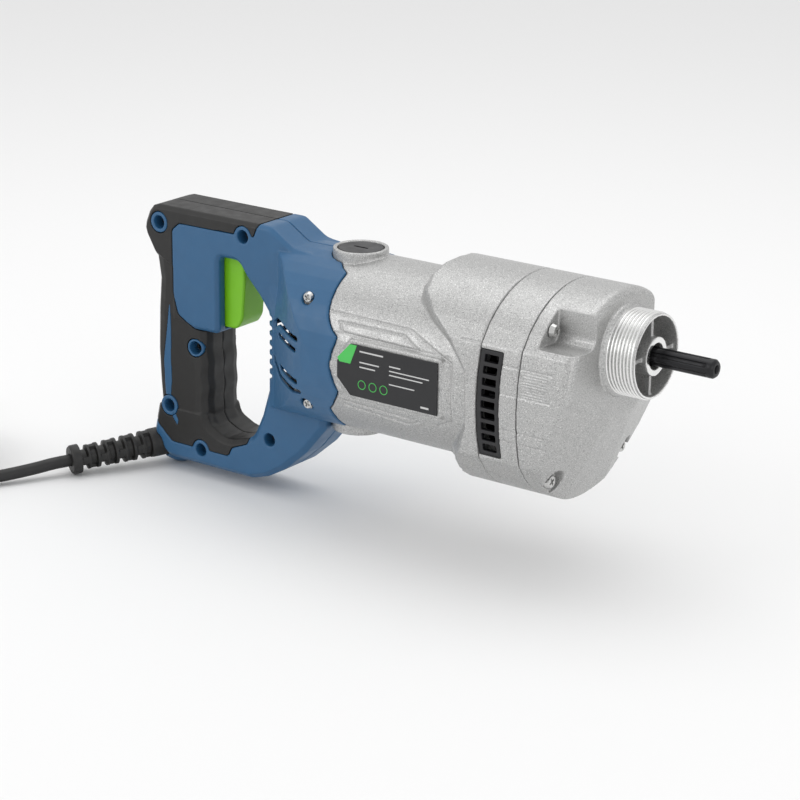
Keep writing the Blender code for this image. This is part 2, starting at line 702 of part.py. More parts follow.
def build_motor_housing():
    body = motor_body()
    bed = offset(list(LABEL_PLATE), -2.0)
    flank = [(x, half - SHELL_WALL - 0.5) for x, half in COVER_PLAN[:-1]]
    flank = [(-60.0, flank[0][1])] + flank + [(flank[-1][0], 90.0), (-60.0, 90.0)]
    spigot = ring("spigot_step", HOUSING_REAR_X - 5, 24.0, SPIGOT_RADIUS, 70.0, steps=40)
    cut(spigot, in_front_of_edge("edge_clearance", GAP))
    cut(body, spigot,
        flat("flank_near", [[(x, -y) for x, y in flank]], "Z", -70, 70),
        flat("flank_far", [flank], "Z", -70, 70),
        turned("motor_bore", [(-23.5, 0), (-23.5, MOTOR_BORE), (120, MOTOR_BORE), (120, 0)], steps=36))
    pad = flat("label_bed", [bed], "Y", LABEL_BED_Y, -43.9)
    join(body, pad)
    cut(body, flat("label_recess", [bed], "Y", -60, LABEL_BED_Y))
    for side, name in ((1, "top"), (-1, "bottom")):
        join(body, rod(f"brush_boss_{name}", (0, 0, side * 30), (0, 0, side * BOSS_TOP), BOSS_RADIUS,
                       sides=32))
    for i, (x, z) in enumerate(COVER_LUG_SCREWS):
        join(body, rod(f"lug_{i}", (x, -29.6, z), (x, -22, z), 3.8, sides=16))
    join(body, turned("bearing_hub", [(-36, 0), (-36, 13), (-24, 15), (-24, 0)], steps=28))
    cut(body, turned("rear_bearing_seat", [(-34, 0), (-34, 11.1), (-20, 11.1), (-20, 0)], steps=28),
        rod("rear_hub_hole", (-40, 0, 0), (-30, 0, 0), 5.5, sides=24))
    for side, name in ((1, "top"), (-1, "bottom")):
        cut(body, rod(f"holder_bore_{name}", (0, 0, side * 20), (0, 0, side * 60), 9.3, sides=20),
            rod(f"cap_seat_{name}", (0, 0, side * 45.0), (0, 0, side * 60), 12.8, sides=24))
    for i, (y, z) in enumerate(COVER_SCREWS):
        cut(body, rod(f"long_screw_hole_{i}", (97, y, z), (120, y, z), 2.3, sides=8))
    for i, z in enumerate((-27, 27)):
        cut(body, rod(f"air_hole_{i}", (-40, 0, z), (-20, 0, z), 9.0, sides=24))
    for i, (x, z) in enumerate(COVER_LUG_SCREWS):
        cut(body, rod(f"lug_head_room_{i}", (x, -60, z), (x, -34.9, z), 4.4, sides=12))
        cut(body, rod(f"lug_hole_{i}", (x, -40, z), (x, -20, z), SCREW_SHANK + 0.3, sides=8))
    smooth(frozen(body))
    smooth(flat("label_plate", [list(LABEL_PLATE)], "Y", LABEL_BED_Y - GAP - LABEL_THICKNESS,
                LABEL_BED_Y - GAP, BLACK_PLASTIC))


# ---------------------------------------------------------------- gear housing and front cover

VENT_X = (111.0, 124.5)
VENT_Z = 28.0
GRILLE_SLOTS = 9


def build_gear_housing():
    section = case_section()
    body = flat("gear_housing", [section], "X", PARTING_REAR_X + HALF_GAP, PARTING_FRONT_X - HALF_GAP, CAST)
    output = (0.0, 0.0, OUTPUT_AXIS_Z)
    cut(body, turned("fan_room", [(100, 0), (100, 47.0), (125.5, 47.0), (125.5, 0)], steps=36),
        turned("front_bearing_seat", [(120, 0), (120, 13.1), (133.6, 13.1), (133.6, 0)], steps=28),
        rod("pinion_hole", (130, 0, 0), (140, 0, 0), 8.0, sides=32),
        turned("output_rear_seat", [(128, 0), (128, 9.6), (140, 9.6), (140, 0)], centre=output, steps=24))
    for side in (-1, 1):
        low, high = sorted((side * 40.0, side * 60.0))
        cut(body, box(f"side_window_{side}", (100, low, -VENT_Z), (VENT_X[1], high, VENT_Z)))
    for i, (y, z) in enumerate(COVER_SCREWS):
        cut(body, rod(f"case_screw_hole_{i}", (100, y, z), (140, y, z), 2.3, sides=8))
    smooth(frozen(body))

    for side, name in ((-1, "vent_grille_left"), (1, "vent_grille_right")):
        low, high = sorted((side * 44.5, side * 60.0))
        grille = flat(name, [offset(section, 0.6)], "X", VENT_X[0], VENT_X[1] - GAP, BLACK_PLASTIC)
        cut(grille, flat(name + "_inside", [offset(section, 3.4)], "X", 100, 140))
        keep(grille, box(name + "_frame", (100, low, GAP - VENT_Z), (140, high, VENT_Z - GAP)))
        pitch = 2 * (VENT_Z - 1.6) / GRILLE_SLOTS
        for slot in range(GRILLE_SLOTS):
            middle = (slot - (GRILLE_SLOTS - 1) / 2) * pitch
            cut(grille, box(f"{name}_slot_{slot}", (113.6, low - 1, middle - pitch * 0.33),
                            (121.8, high + 1, middle + pitch * 0.33)))
        smooth(frozen(grille))


def facet_cutter(name, on_plane, outward):
    """A large block whose inner face lies on the plane."""
    normal = Vector(outward).normalized()
    turn = normal.to_track_quat("Z", "Y").to_matrix().to_4x4()
    frame = Matrix.Translation((Vector(on_plane) + normal * 60) * MM) @ turn
    shape = bmesh.new()
    bmesh.ops.create_cube(shape, size=1.0, matrix=frame @ Matrix.Diagonal((0.2, 0.2, 0.12, 1.0)))
    return from_bmesh(name, shape, None)


def build_front_cover():
    section = case_section()
    output = (0.0, 0.0, OUTPUT_AXIS_Z)
    body = flat("front_cover", [section], "X", PARTING_FRONT_X + HALF_GAP, COVER_FRONT_X, CAST)
    cut(body, facet_cutter("lower_facet", (145, 0, -53), (0.914, 0, -0.405)))
    for side in (-1, 1):
        cut(body, facet_cutter(f"side_facet_{side}", (145, side * 21, -52), (0.906, side * 0.212, -0.367)))
        low, high = sorted((side * 28.0, side * 80.0))
        corner = rounded(((side * 28.0, 80), (side * 28.0, 32.5, 5), (side * 80.0, 32.5), (side * 80, 80)))
        cut(body, flat(f"screw_notch_{side}", [corner], "X", NOTCH_FLOOR_X, 180),
            rod(f"lower_pocket_{side}", (NOTCH_FLOOR_X, side * 34, -39.5), (180, side * 34, -39.5), 6.5,
                sides=18))
    collar = turned("nose_base", [(155, 0), (155, NOSE_COLLAR_RADIUS), (166.3, NOSE_COLLAR_RADIUS),
                                  (167, NOSE_RADIUS), (NOSE_FRONT_X, NOSE_RADIUS), (NOSE_FRONT_X, 0)],
                    centre=output, steps=32)
    join(body, collar)
    cut(body, ring("nose_hollow", NOSE_FLOOR_X, 190, HUB_RADIUS, NOSE_INNER_RADIUS, centre=output, steps=32))
    webs = [box("web_upright", (NOSE_FLOOR_X - 1, -WEB_THICKNESS / 2, OUTPUT_AXIS_Z - 21.5),
                (NOSE_FRONT_X - 3, WEB_THICKNESS / 2, OUTPUT_AXIS_Z + 21.5)),
            box("web_level", (NOSE_FLOOR_X - 1, -21.5, OUTPUT_AXIS_Z - WEB_THICKNESS / 2),
                (NOSE_FRONT_X - 3, 21.5, OUTPUT_AXIS_Z + WEB_THICKNESS / 2))]
    join(body, *webs)
    steps = [(120, 0), (120, 22.6), (147.2, 22.6), (147.2, 13.2), (156.6, 13.2), (156.6, 9.9),
             (163.0, 9.9), (163.0, HUB_BORE), (190, HUB_BORE), (190, 0)]
    cut(body, turned("output_bore", steps, centre=output, steps=24),
        turned("pinion_room", [(120, 0), (120, 9), (149, 9), (149, 0)], steps=16))
    hollow = flat("cover_hollow", [offset(section, 6.0)], "X", 120, 140.5)
    for i, (y, z) in enumerate(COVER_SCREWS):
        cut(hollow, rod(f"screw_column_{i}", (110, y, z), (150, y, z), 6.5, sides=12))
        cut(body, rod(f"cover_screw_hole_{i}", (130, y, z), (150, y, z), 2.3, sides=8))
    cut(body, hollow)
    smooth(frozen(body))


# ---------------------------------------------------------------- rotating pieces and bearings

def build_armature():
    slots = 12
    core = []
    for slot in range(slots):
        middle = 2 * math.pi * slot / slots
        for radius, share in ((ARMATURE_RADIUS, -0.42), (ARMATURE_RADIUS, -0.14), (ARMATURE_RADIUS, 0.14),
                              (ARMATURE_RADIUS, 0.42), (25.8, 0.42), (24.5, 0.3), (17.5, 0.22),
                              (17.5, 0.78), (24.5, 0.7), (25.8, 0.58)):
            a = middle + 2 * math.pi / slots * share
            core.append((radius * math.cos(a), radius * math.sin(a)))
    smooth(flat("armature_core", [core, circle(5.1, 24)], "X", CORE_START_X, CORE_END_X, LAMINATION))
    turned("armature_shaft", [(-33.5, 0), (-33.5, 3.9), (-22, 3.9), (-22, 5.0), (133.4, 5.0), (133.4, 3.0),
                              (147.5, 3.0), (148.0, 2.5), (148.0, 0)], STEEL, steps=24)
    bars = 18
    outline = []
    for bar in range(bars):
        for radius, share in ((COMMUTATOR_RADIUS, -0.42), (COMMUTATOR_RADIUS, 0.42),
                              (12.2, 0.42), (12.2, 0.58)):
            a = 2 * math.pi / bars * (bar + share)
            outline.append((radius * math.cos(a), radius * math.sin(a)))
    smooth(flat("commutator", [outline, circle(5.1, 24)], "X", -12, 13, COPPER))
    build_fan()
    pinion_outline = [gear_outline(PINION_TEETH, flank_steps=2), circle(3.0 + RUNNING_GAP, 20)]
    pinion = flat("pinion", pinion_outline, "X", 136.5, 147.0, STEEL)
    smooth(pinion)


def build_fan():
    blades = 9
    outline = []
    for blade in range(blades):
        middle = 2 * math.pi * blade / blades
        for radius, width, lean in ((12.0, 1.4, 0.0), (42.5, 1.4, 0.30),
                                    (42.5, -1.4, 0.30), (12.0, -1.4, 0.0)):
            a = middle + lean - width / radius / 2
            outline.append((radius * math.cos(a), radius * math.sin(a)))
    fan = flat("cooling_fan", [outline, circle(5.1, 24)], "X", 112.5, 122.5, BLACK_PLASTIC)
    join(fan, ring("fan_disc", 120.5, 123.0, 5.1, 44.0, steps=36))
    smooth(frozen(fan))


def build_output():
    gear = flat("drive_gear", [gear_outline(GEAR_TEETH, flank_steps=1), circle(8.0 + RUNNING_GAP, 24)], "X",
                GEAR_START_X, GEAR_END_X, STEEL, output_axis)
    smooth(frozen(gear))
    profile = [(128.6, 0), (128.6, 2.9), (135.2, 2.9), (135.2, 8.0), (146.8, 8.0), (146.8, 4.9),
               (216.2, 4.9), (SHAFT_TIP_X, 3.9), (SHAFT_TIP_X, 0)]
    shaft = turned("output_shaft", profile, DARK_STEEL, output_axis, steps=24)
    for groove in range(6):
        a = math.radians(60 * groove + 30)
        shape = box(f"spline_groove_{groove}", (172, -1.1, 3.9), (212, 1.1, 9), parent=output_axis)
        shape.rotation_euler = (a, 0.0, 0.0)
        cut(shaft, shape)
    cut(shaft, rod("centre_hole", (214.4, 0, 0), (220, 0, 0), 0.8, parent=output_axis, sides=16,
                   end_radius=2.4))
    smooth(frozen(shaft))


def build_bearings():
    output = (0.0, 0.0, OUTPUT_AXIS_Z)
    for name, start, end, inner, outer, centre in (
            ("rear_bearing", -33.4, -26.4, 4.0, 11.0, (0, 0, 0)),
            ("front_bearing", 125.8, 133.3, 5.1, 13.0, (0, 0, 0)),
            ("output_rear_bearing", 128.4, 134.4, 3.0, 9.5, output),
            ("output_front_bearing", 147.5, 155.5, 5.0, 12.9, output)):
        shield = [(start, outer), (end, outer), (end, outer - 2), (end - 0.6, outer - 2),
                  (end - 0.6, inner + 1.5), (end, inner + 1.5), (end, inner), (start, inner)]
        turned(name, shield, STEEL, steps=16, centre=centre)
    seal = [(156.9, 9.6), (162.6, 9.6), (162.6, 7.0), (159.5, 7.0), (159.5, 5.1), (156.9, 5.6)]
    turned("shaft_seal", seal, SEAL_RUBBER, steps=16, centre=output)


# ---------------------------------------------------------------- stator, brushes and baffle

def sector(inner, outer, start, end, steps=12):
    return arc((0, 0), outer, start, end, steps) + arc((0, 0), inner, end, start, steps)


def build_stator():
    yoke = [(43.1 * math.cos(math.radians(a)), 43.1 * math.sin(math.radians(a))) for a in range(0, 360, 6)]
    bore = []
    for quarter in (0, 180):
        bore += arc((0, 0), 38.9, quarter - 44, quarter + 44, 10)
        bore += arc((0, 0), 28.6, quarter + 46, quarter + 134, 10)
    smooth(flat("stator_core", [yoke, bore], "X", CORE_START_X + 1, CORE_END_X - 1, LAMINATION))
    for side, name in ((1, "field_coil_top"), (-1, "field_coil_bottom")):
        low, high = (4, 176) if side > 0 else (184, 356)
        coil = flat(name, [sector(29.4, 38.2, low, high, 20)], "X", 19, 97, COPPER)
        low_z, high_z = sorted((side * 19.3, side * 60.0))
        cut(coil, box(name + "_window", (CORE_START_X - 1, -45, low_z), (CORE_END_X + 1, 45, high_z)))
        smooth(frozen(coil))
    ring("fan_baffle", 102.5, 105.5, 30.0, 43.1, BLACK_PLASTIC, steps=28)


def build_brushes():
    for side, name in ((1, "top"), (-1, "bottom")):
        def up(value):
            return side * value

        def brush_box(label, half_x, half_y, low, high, finish=None):
            return box(label, (-half_x, -half_y, min(up(low), up(high))),
                       (half_x, half_y, max(up(low), up(high))), finish)

        holder = rod(f"brush_holder_{name}", (0, 0, up(18.5)), (0, 0, up(44.8)), 9.0, BRASS, sides=32)
        cut(holder, brush_box(f"brush_channel_{name}", 5.3, 3.3, 10, 60))
        smooth(frozen(holder))
        brush_box(f"carbon_brush_{name}", 5.0, 3.0, COMMUTATOR_RADIUS + 0.1, 30.0, CARBON)
        spring_coil(f"brush_spring_{name}", (0, 0, up(30.3)), (0, 0, up(44.8)), 2.3, 0.45, 4, COPPER)
        cap = turned(f"brush_cap_{name}", [(45.3, 0), (45.3, 12.4), (50.2, 12.4), (50.7, 11.9), (50.7, 0)],
                     BLACK_PLASTIC, steps=24, along="Z")
        if side < 0:
            cap.rotation_euler = (math.pi, 0.0, 0.0)
        slot_low, slot_high = sorted((up(49.2), up(55)))
        cut(cap, box(f"coin_slot_{name}", (-4.5, -0.8, slot_low), (4.5, 0.8, slot_high)))
        frozen(cap)


def spring_coil(name, start, end, radius, wire, turns, finish, parent=tool):
    """A coil spring as a curve with a round bevel."""
    start = Vector(start)
    run = Vector(end) - start
    turn = run.to_track_quat("Z", "Y")
    per_turn = 8
    length = run.length - 2 * wire
    curve = bpy.data.curves.new(name, "CURVE")
    curve.dimensions = "3D"
    curve.bevel_depth = wire * MM
    curve.bevel_resolution = 0
    curve.use_fill_caps = True
    spline = curve.splines.new("POLY")
    spline.points.add(turns * per_turn)
    for i, point in enumerate(spline.points):
        a = 2 * math.pi * i / per_turn
        local = Vector((radius * math.cos(a), radius * math.sin(a), wire + length * i / (turns * per_turn)))
        point.co = (*((start + turn @ local) * MM), 1.0)
    made = bpy.data.objects.new(name, curve)
    made.parent = parent
    parts.objects.link(made)
    curve.materials.append(finish)
    return made


# ---------------------------------------------------------------- switch and trigger

def build_switch():
    outline = rounded(((TRIGGER_REAR_X, -8.0, 2), (-78.5, -8.0, 5), (-74.5, -2.0, 8), (-72.8, 20.0),
                       (-72.8, 34.0, 1), (-74.0, 35.4, 1), (TRIGGER_REAR_X, 35.4, 1)))
    trigger = flat("trigger", [outline], "Y", -TRIGGER_HALF_WIDTH, TRIGGER_HALF_WIDTH, GREEN, bevel=1.6,
                   segments=1)
    smooth(frozen(trigger))
    plunger_z = 14.0
    rod("switch_plunger", (SWITCH_FRONT_X - 3.0, 0, plunger_z), (TRIGGER_REAR_X - GAP, 0, plunger_z), 2.0,
        BLACK_PLASTIC, sides=20)
    spring_coil("trigger_spring", (SWITCH_FRONT_X + 0.2, 0, plunger_z), (TRIGGER_REAR_X - 0.2, 0, plunger_z),
                3.2, 0.4, 4, STEEL)
    body = box("switch_body", (-118.0, -9.5, -6.0), (SWITCH_FRONT_X, 9.5, 34.0), BLACK_PLASTIC)
    cut(body, rod("plunger_bore", (SWITCH_FRONT_X - 10.0, 0, plunger_z), (-95, 0, plunger_z), 2.3, sides=20))
    frozen(body)
    clamp = box("cable_clamp", (-121.0, -8.0, -50.0), (-110.0, 8.0, -44.0), BLACK_PLASTIC)
    cut(clamp, rod("clamp_bore", (-115.5, 0, -60), (-115.5, 0, -40), 3.9, sides=20))
    frozen(clamp)


# ---------------------------------------------------------------- screws

def pan_head_screw(name, seat, direction, shank_length, shank, head, head_height):
    """A screw whose head sits on the seat, with its shank along the direction."""
    seat = Vector(seat)
    way = Vector(direction).normalized()
    outer = seat - way * head_height
    screw = rod(name, outer, seat, head * 0.78, STEEL, sides=12, end_radius=head)
    join(screw, rod(name + "_shank", seat - way * 0.5, seat + way * shank_length, shank, sides=8))
    return smooth(frozen(screw))


def build_screws():
    for i, (y, z) in enumerate(COVER_SCREWS):
        pan_head_screw(f"cover_screw_{i + 1}", (NOTCH_FLOOR_X + GAP, y, z), (-1, 0, 0), 45.0, 1.95, 4.0, 2.8)
    for i, (x, z) in enumerate(HANDLE_SCREWS):
        pan_head_screw(f"handle_screw_{i + 1}", (x, GAP - 12.5 - 0.3, z), (0, 1, 0), 24.0, SCREW_SHANK,
                       SCREW_HEAD, 2.2)
    for i, (x, z) in enumerate(COVER_LUG_SCREWS):
        pan_head_screw(f"handle_screw_{i + 7}", (x, -35.7, z), (0, 1, 0), 12.2, SCREW_SHANK, SCREW_HEAD, 2.2)


# ---------------------------------------------------------------- mains lead

# Where the lead runs outside the handle, as (x, y, height of its centre above the floor)
CORD_ROUTE = ((-167, -67, 8.0), (-171.5, -75.5, 6.9), (-176.5, -85, 6.0), (-181.5, -94.2, 5.3),
              (-186.8, -103.3, 4.9), (-192.1, -112.4, 4.7), (-197.4, -121.5, 4.6), (-201.3, -128.1, 4.5),
              (-205.0, -134.5, 4.4))


def smooth_path(points, per_span):
    """Points on a Catmull-Rom curve through the given points."""
    knots = [Vector(p) for p in points]
    knots = [knots[0] * 2 - knots[1]] + knots + [knots[-1] * 2 - knots[-2]]
    path = []
    for a, b, c, d in zip(knots, knots[1:], knots[2:], knots[3:]):
        for i in range(per_span):
            t = i / per_span
            path.append(0.5 * (2 * b + (c - a) * t + (2 * a - 5 * b + 4 * c - d) * t ** 2
                               + (3 * b - a - 3 * c + d) * t ** 3))
    path.append(knots[-2])
    return path


def build_relief():
    start = 7.5
    profile = [(start, 8.4), (18.0, 8.4), (20.0, 7.4)]
    ribs = 8
    for rib in range(ribs):
        left = 20.0 + rib * 5.2
        radius = 8.2 - 0.17 * rib
        profile += [(left + 0.4, radius - 1.1), (left + 1.2, radius), (left + 3.6, radius - 0.1)]
    end = start + RELIEF_LENGTH
    profile += [(end - 5.0, 6.6), (end - 4.2, 8.4), (end - 0.8, 8.4), (end, 7.6), (end, 3.8), (start, 3.8)]
    relief = turned("strain_relief", profile, BLACK_RUBBER, steps=12, along="Z", centre=GLAND_CENTRE)
    relief.rotation_mode = "QUATERNION"
    relief.rotation_quaternion = Vector(RELIEF_DIRECTION).normalized().to_track_quat("Z", "Y")


def build_cord():
    build_relief()
    end = 7.5 + RELIEF_LENGTH
    lead_in = [relief_point(9.0), relief_point(30.0), relief_point(50.0), relief_point(end)]
    route = lead_in + [Vector((x, y, FLOOR_Z + height)) for x, y, height in CORD_ROUTE]
    path = smooth_path(route, 2)
    curve = bpy.data.curves.new("power_cord", "CURVE")
    curve.dimensions = "3D"
    curve.bevel_depth = CORD_DIAMETER / 2 * MM
    curve.bevel_resolution = 2
    curve.use_fill_caps = True
    spline = curve.splines.new("POLY")
    spline.points.add(len(path) - 1)
    for point, where in zip(spline.points, path):
        point.co = (*(where * MM), 1.0)
    cord = bpy.data.objects.new("power_cord", curve)
    cord.parent = tool
    parts.objects.link(cord)
    curve.materials.append(BLACK_PLASTIC)


def build_coil_and_plug():
    low = FLOOR_Z + HALF_GAP
    inner = COIL_RADIUS - COIL_HALF_WIDTH
    outer = COIL_RADIUS + COIL_HALF_WIDTH
    soft = 5.0
    centre = (*COIL_CENTRE, 0.0)
    profile = [(low, outer - soft), (low + soft, outer), (low + COIL_HEIGHT - soft, outer),
               (low + COIL_HEIGHT, outer - soft), (low + COIL_HEIGHT, inner + soft),
               (low + COIL_HEIGHT - soft, inner), (low + soft, inner), (low, inner + soft)]
    coil = turned("cord_coil", profile, BLACK_PLASTIC, steps=28, centre=centre, along="Z")
    depth = 1.6
    waist = (COIL_CENTRE[0] + COIL_RADIUS, COIL_CENTRE[1])
    middle = (waist[0], low + COIL_HEIGHT / 2)

    def band(shrink):
        half_u = COIL_HALF_WIDTH - shrink
        half_v = COIL_HEIGHT / 2 - shrink
        return rounded(((middle[0] - half_u, middle[1] - half_v, soft - 1),
                        (middle[0] + half_u, middle[1] - half_v, soft - 1),
                        (middle[0] + half_u, middle[1] + half_v, soft - 1),
                        (middle[0] - half_u, middle[1] + half_v, soft - 1)))

    cut(coil, flat("tie_groove", [band(-3.0), band(depth)], "Y", waist[1] - 3.5, waist[1] + 3.5))
    frozen(coil)
    flat("cable_tie", [band(0.1), band(depth - GAP)], "Y", waist[1] - 2.5, waist[1] + 2.5, BLACK_PLASTIC)
    low_z = FLOOR_Z + HALF_GAP
    tail_x, tail_y = PLUG_TAIL
    plug = []
    for side in (-1, 1):
        half = [(side * 14, tail_y + PLUG_LENGTH, 3), (side * 14, tail_y + 22, 8), (side * 6, tail_y, 3)]
        plug += half if side < 0 else reversed(half)
    outline = rounded([(tail_x + across, y, corner) for across, y, corner in plug])
    body = flat("plug_body", [outline], "Z", low_z, low_z + 22, BLACK_PLASTIC, bevel=2.5)
    smooth(frozen(body))
    for i, side in enumerate((-1, 1)):
        x = tail_x + side * 9.5
        pin_start = tail_y + PLUG_LENGTH + GAP
        rod(f"plug_pin_{i + 1}", (x, pin_start, low_z + 11), (x, pin_start + 19, low_z + 11), 2.4, BRASS,
            sides=20)


build_handle()
build_motor_housing()
build_gear_housing()
build_front_cover()
build_armature()
build_output()
build_bearings()
build_stator()
build_brushes()
build_switch()
build_screws()
build_cord()
build_coil_and_plug()
for leftover in list(cutters.objects):
    if leftover.users_collection == (cutters,) and not any(
            step.type == "BOOLEAN" and step.object == leftover
            for made in parts.objects for step in made.modifiers):
        bpy.data.objects.remove(leftover, do_unlink=True)
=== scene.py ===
"""Looks of a hand-held concrete vibrator drive unit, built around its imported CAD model."""
import json
import math

import bmesh
import bpy
import numpy as np
from mathutils import Matrix, Vector


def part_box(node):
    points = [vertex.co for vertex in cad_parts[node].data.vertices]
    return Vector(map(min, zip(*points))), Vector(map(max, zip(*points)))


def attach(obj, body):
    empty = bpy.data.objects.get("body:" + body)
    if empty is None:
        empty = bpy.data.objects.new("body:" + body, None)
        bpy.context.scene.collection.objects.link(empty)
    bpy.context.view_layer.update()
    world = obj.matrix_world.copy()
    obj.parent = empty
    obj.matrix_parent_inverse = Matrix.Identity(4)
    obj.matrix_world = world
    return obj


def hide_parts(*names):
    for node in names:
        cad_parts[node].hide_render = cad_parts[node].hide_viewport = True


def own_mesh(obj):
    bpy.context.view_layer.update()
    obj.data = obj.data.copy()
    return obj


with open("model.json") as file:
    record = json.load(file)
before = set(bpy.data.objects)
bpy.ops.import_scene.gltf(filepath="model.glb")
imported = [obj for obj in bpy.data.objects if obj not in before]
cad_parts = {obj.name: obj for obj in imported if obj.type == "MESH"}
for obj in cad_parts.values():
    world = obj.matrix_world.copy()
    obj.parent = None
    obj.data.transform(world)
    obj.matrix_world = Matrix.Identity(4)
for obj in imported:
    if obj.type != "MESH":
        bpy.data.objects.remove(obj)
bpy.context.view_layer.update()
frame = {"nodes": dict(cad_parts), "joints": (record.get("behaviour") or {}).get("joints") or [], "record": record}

MM = 0.001
JOINTS = {joint["name"]: joint for joint in frame["joints"]}
MOTOR_AXIS = Vector(JOINTS["armature_spin"]["pos_m"])
OUTPUT_AXIS_Z = (JOINTS["output_spin"]["pos_m"][2] - MOTOR_AXIS.z) / MM
FLOOR_Z = -MOTOR_AXIS.z / MM


def at(x, y, z):
    """A point in the row frame from the tool's own millimetres: x from the brushes, z from the motor axis."""
    return MOTOR_AXIS + Vector((x, y, z)) * MM


# ---------------------------------------------------------------- camera, light and floor

CAMERA_PLACE = (0.74311, -1.04892, 0.50508)
CAMERA_AZIMUTH = math.radians(35.70)
CAMERA_ELEVATION = math.radians(18.67)
CAMERA_ROLL = math.radians(0.73)
SENSOR_WIDTH = 36.0
CAMERA_LENS = 114.09

WORLD_STRENGTH = 0.86
FLOOR_COLOUR = (0.86, 0.86, 0.86)
FLOOR_ROUGHNESS = 0.9
FLOOR_HALF_WIDTH = 4.0
# Each soft box: its name, place, what it faces, its two sides and its power
SOFT_BOXES = (
    ("top_box", (-0.1, 0.25, 1.2), (0.0, 0.0, 0.0), (1.3, 0.9), 4.5),
    ("front_box", (1.3, -0.6, 0.55), (0.05, 0.0, 0.08), (0.7, 0.7), 1.8),
    ("side_box", (-0.9, -1.2, 0.9), (0.0, 0.0, 0.08), (0.8, 0.6), 3.5),
)


def build_camera():
    back = Vector((math.sin(CAMERA_AZIMUTH) * math.cos(CAMERA_ELEVATION),
                   -math.cos(CAMERA_AZIMUTH) * math.cos(CAMERA_ELEVATION),
                   math.sin(CAMERA_ELEVATION)))
    level = Vector((math.cos(CAMERA_AZIMUTH), math.sin(CAMERA_AZIMUTH), 0.0))
    rise = back.cross(level)
    right = math.cos(CAMERA_ROLL) * level + math.sin(CAMERA_ROLL) * rise
    up = math.cos(CAMERA_ROLL) * rise - math.sin(CAMERA_ROLL) * level
    data = bpy.data.cameras.new("camera")
    data.sensor_width = SENSOR_WIDTH
    data.lens = CAMERA_LENS
    camera = bpy.data.objects.new("camera", data)
    camera.matrix_world = Matrix.Translation(CAMERA_PLACE) @ Matrix((right, up, back)).transposed().to_4x4()
    bpy.context.scene.collection.objects.link(camera)
    bpy.context.scene.camera = camera


def area_light(name, place, aim, size, power):
    data = bpy.data.lights.new(name, "AREA")
    data.shape = "RECTANGLE"
    data.size, data.size_y = size
    data.energy = power
    lamp = bpy.data.objects.new(name, data)
    lamp.location = place
    lamp.rotation_euler = (Vector(aim) - Vector(place)).to_track_quat("-Z", "Y").to_euler()
    bpy.context.scene.collection.objects.link(lamp)


def build_studio():
    world = bpy.data.worlds.new("studio")
    world.use_nodes = True
    background = world.node_tree.nodes["Background"]
    background.inputs["Color"].default_value = (1.0, 1.0, 1.0, 1.0)
    background.inputs["Strength"].default_value = WORLD_STRENGTH
    bpy.context.scene.world = world
    bpy.context.scene.view_settings.view_transform = "Standard"
    for soft_box in SOFT_BOXES:
        area_light(*soft_box)
    paint = bpy.data.materials.new("floor")
    paint.use_nodes = True
    shader = paint.node_tree.nodes["Principled BSDF"]
    shader.inputs["Base Color"].default_value = (*FLOOR_COLOUR, 1.0)
    shader.inputs["Roughness"].default_value = FLOOR_ROUGHNESS
    shape = bmesh.new()
    bmesh.ops.create_grid(shape, x_segments=8, y_segments=8, size=FLOOR_HALF_WIDTH)
    floor = new_piece("floor", shape, paint)


# ---------------------------------------------------------------- materials

def node(made, kind, **values):
    """A new node of the material, with some of its inputs set or linked."""
    new = made.node_tree.nodes.new(kind)
    for name, value in values.items():
        socket = new.inputs[name.replace("_", " ")]
        if isinstance(value, bpy.types.NodeSocket):
            made.node_tree.links.new(value, socket)
        else:
            socket.default_value = value
    return new


def noise(made, size):
    """Noise with features of about the size in millimetres, from 0 to 1."""
    where = node(made, "ShaderNodeTexCoord").outputs["Object"]
    texture = node(made, "ShaderNodeTexNoise", Vector=where, Scale=1.0 / (size * MM), Detail=3.0)
    return texture.outputs["Fac"]


def between(made, value, low, high, to_low, to_high):
    ramp = node(made, "ShaderNodeMapRange", Value=value)
    ramp.inputs["From Min"].default_value = low
    ramp.inputs["From Max"].default_value = high
    ramp.inputs["To Min"].default_value = to_low
    ramp.inputs["To Max"].default_value = to_high
    return ramp.outputs["Result"]


def mixed(made, factor, first, second):
    mix = made.node_tree.nodes.new("ShaderNodeMix")
    mix.data_type = "RGBA"
    made.node_tree.links.new(factor, mix.inputs[0])
    for socket, value in ((mix.inputs[6], first), (mix.inputs[7], second)):
        if isinstance(value, bpy.types.NodeSocket):
            made.node_tree.links.new(value, socket)
        else:
            socket.default_value = (*value, 1.0)
    return mix.outputs[2]


# Every finish varies a little in shade over one size, in mm, and in gloss over another
SHADE_SIZE = 9.0
SHADE_DEPTH = 0.86
GLOSS_SIZE = 6.0
GLOSS_SPREAD = 0.06


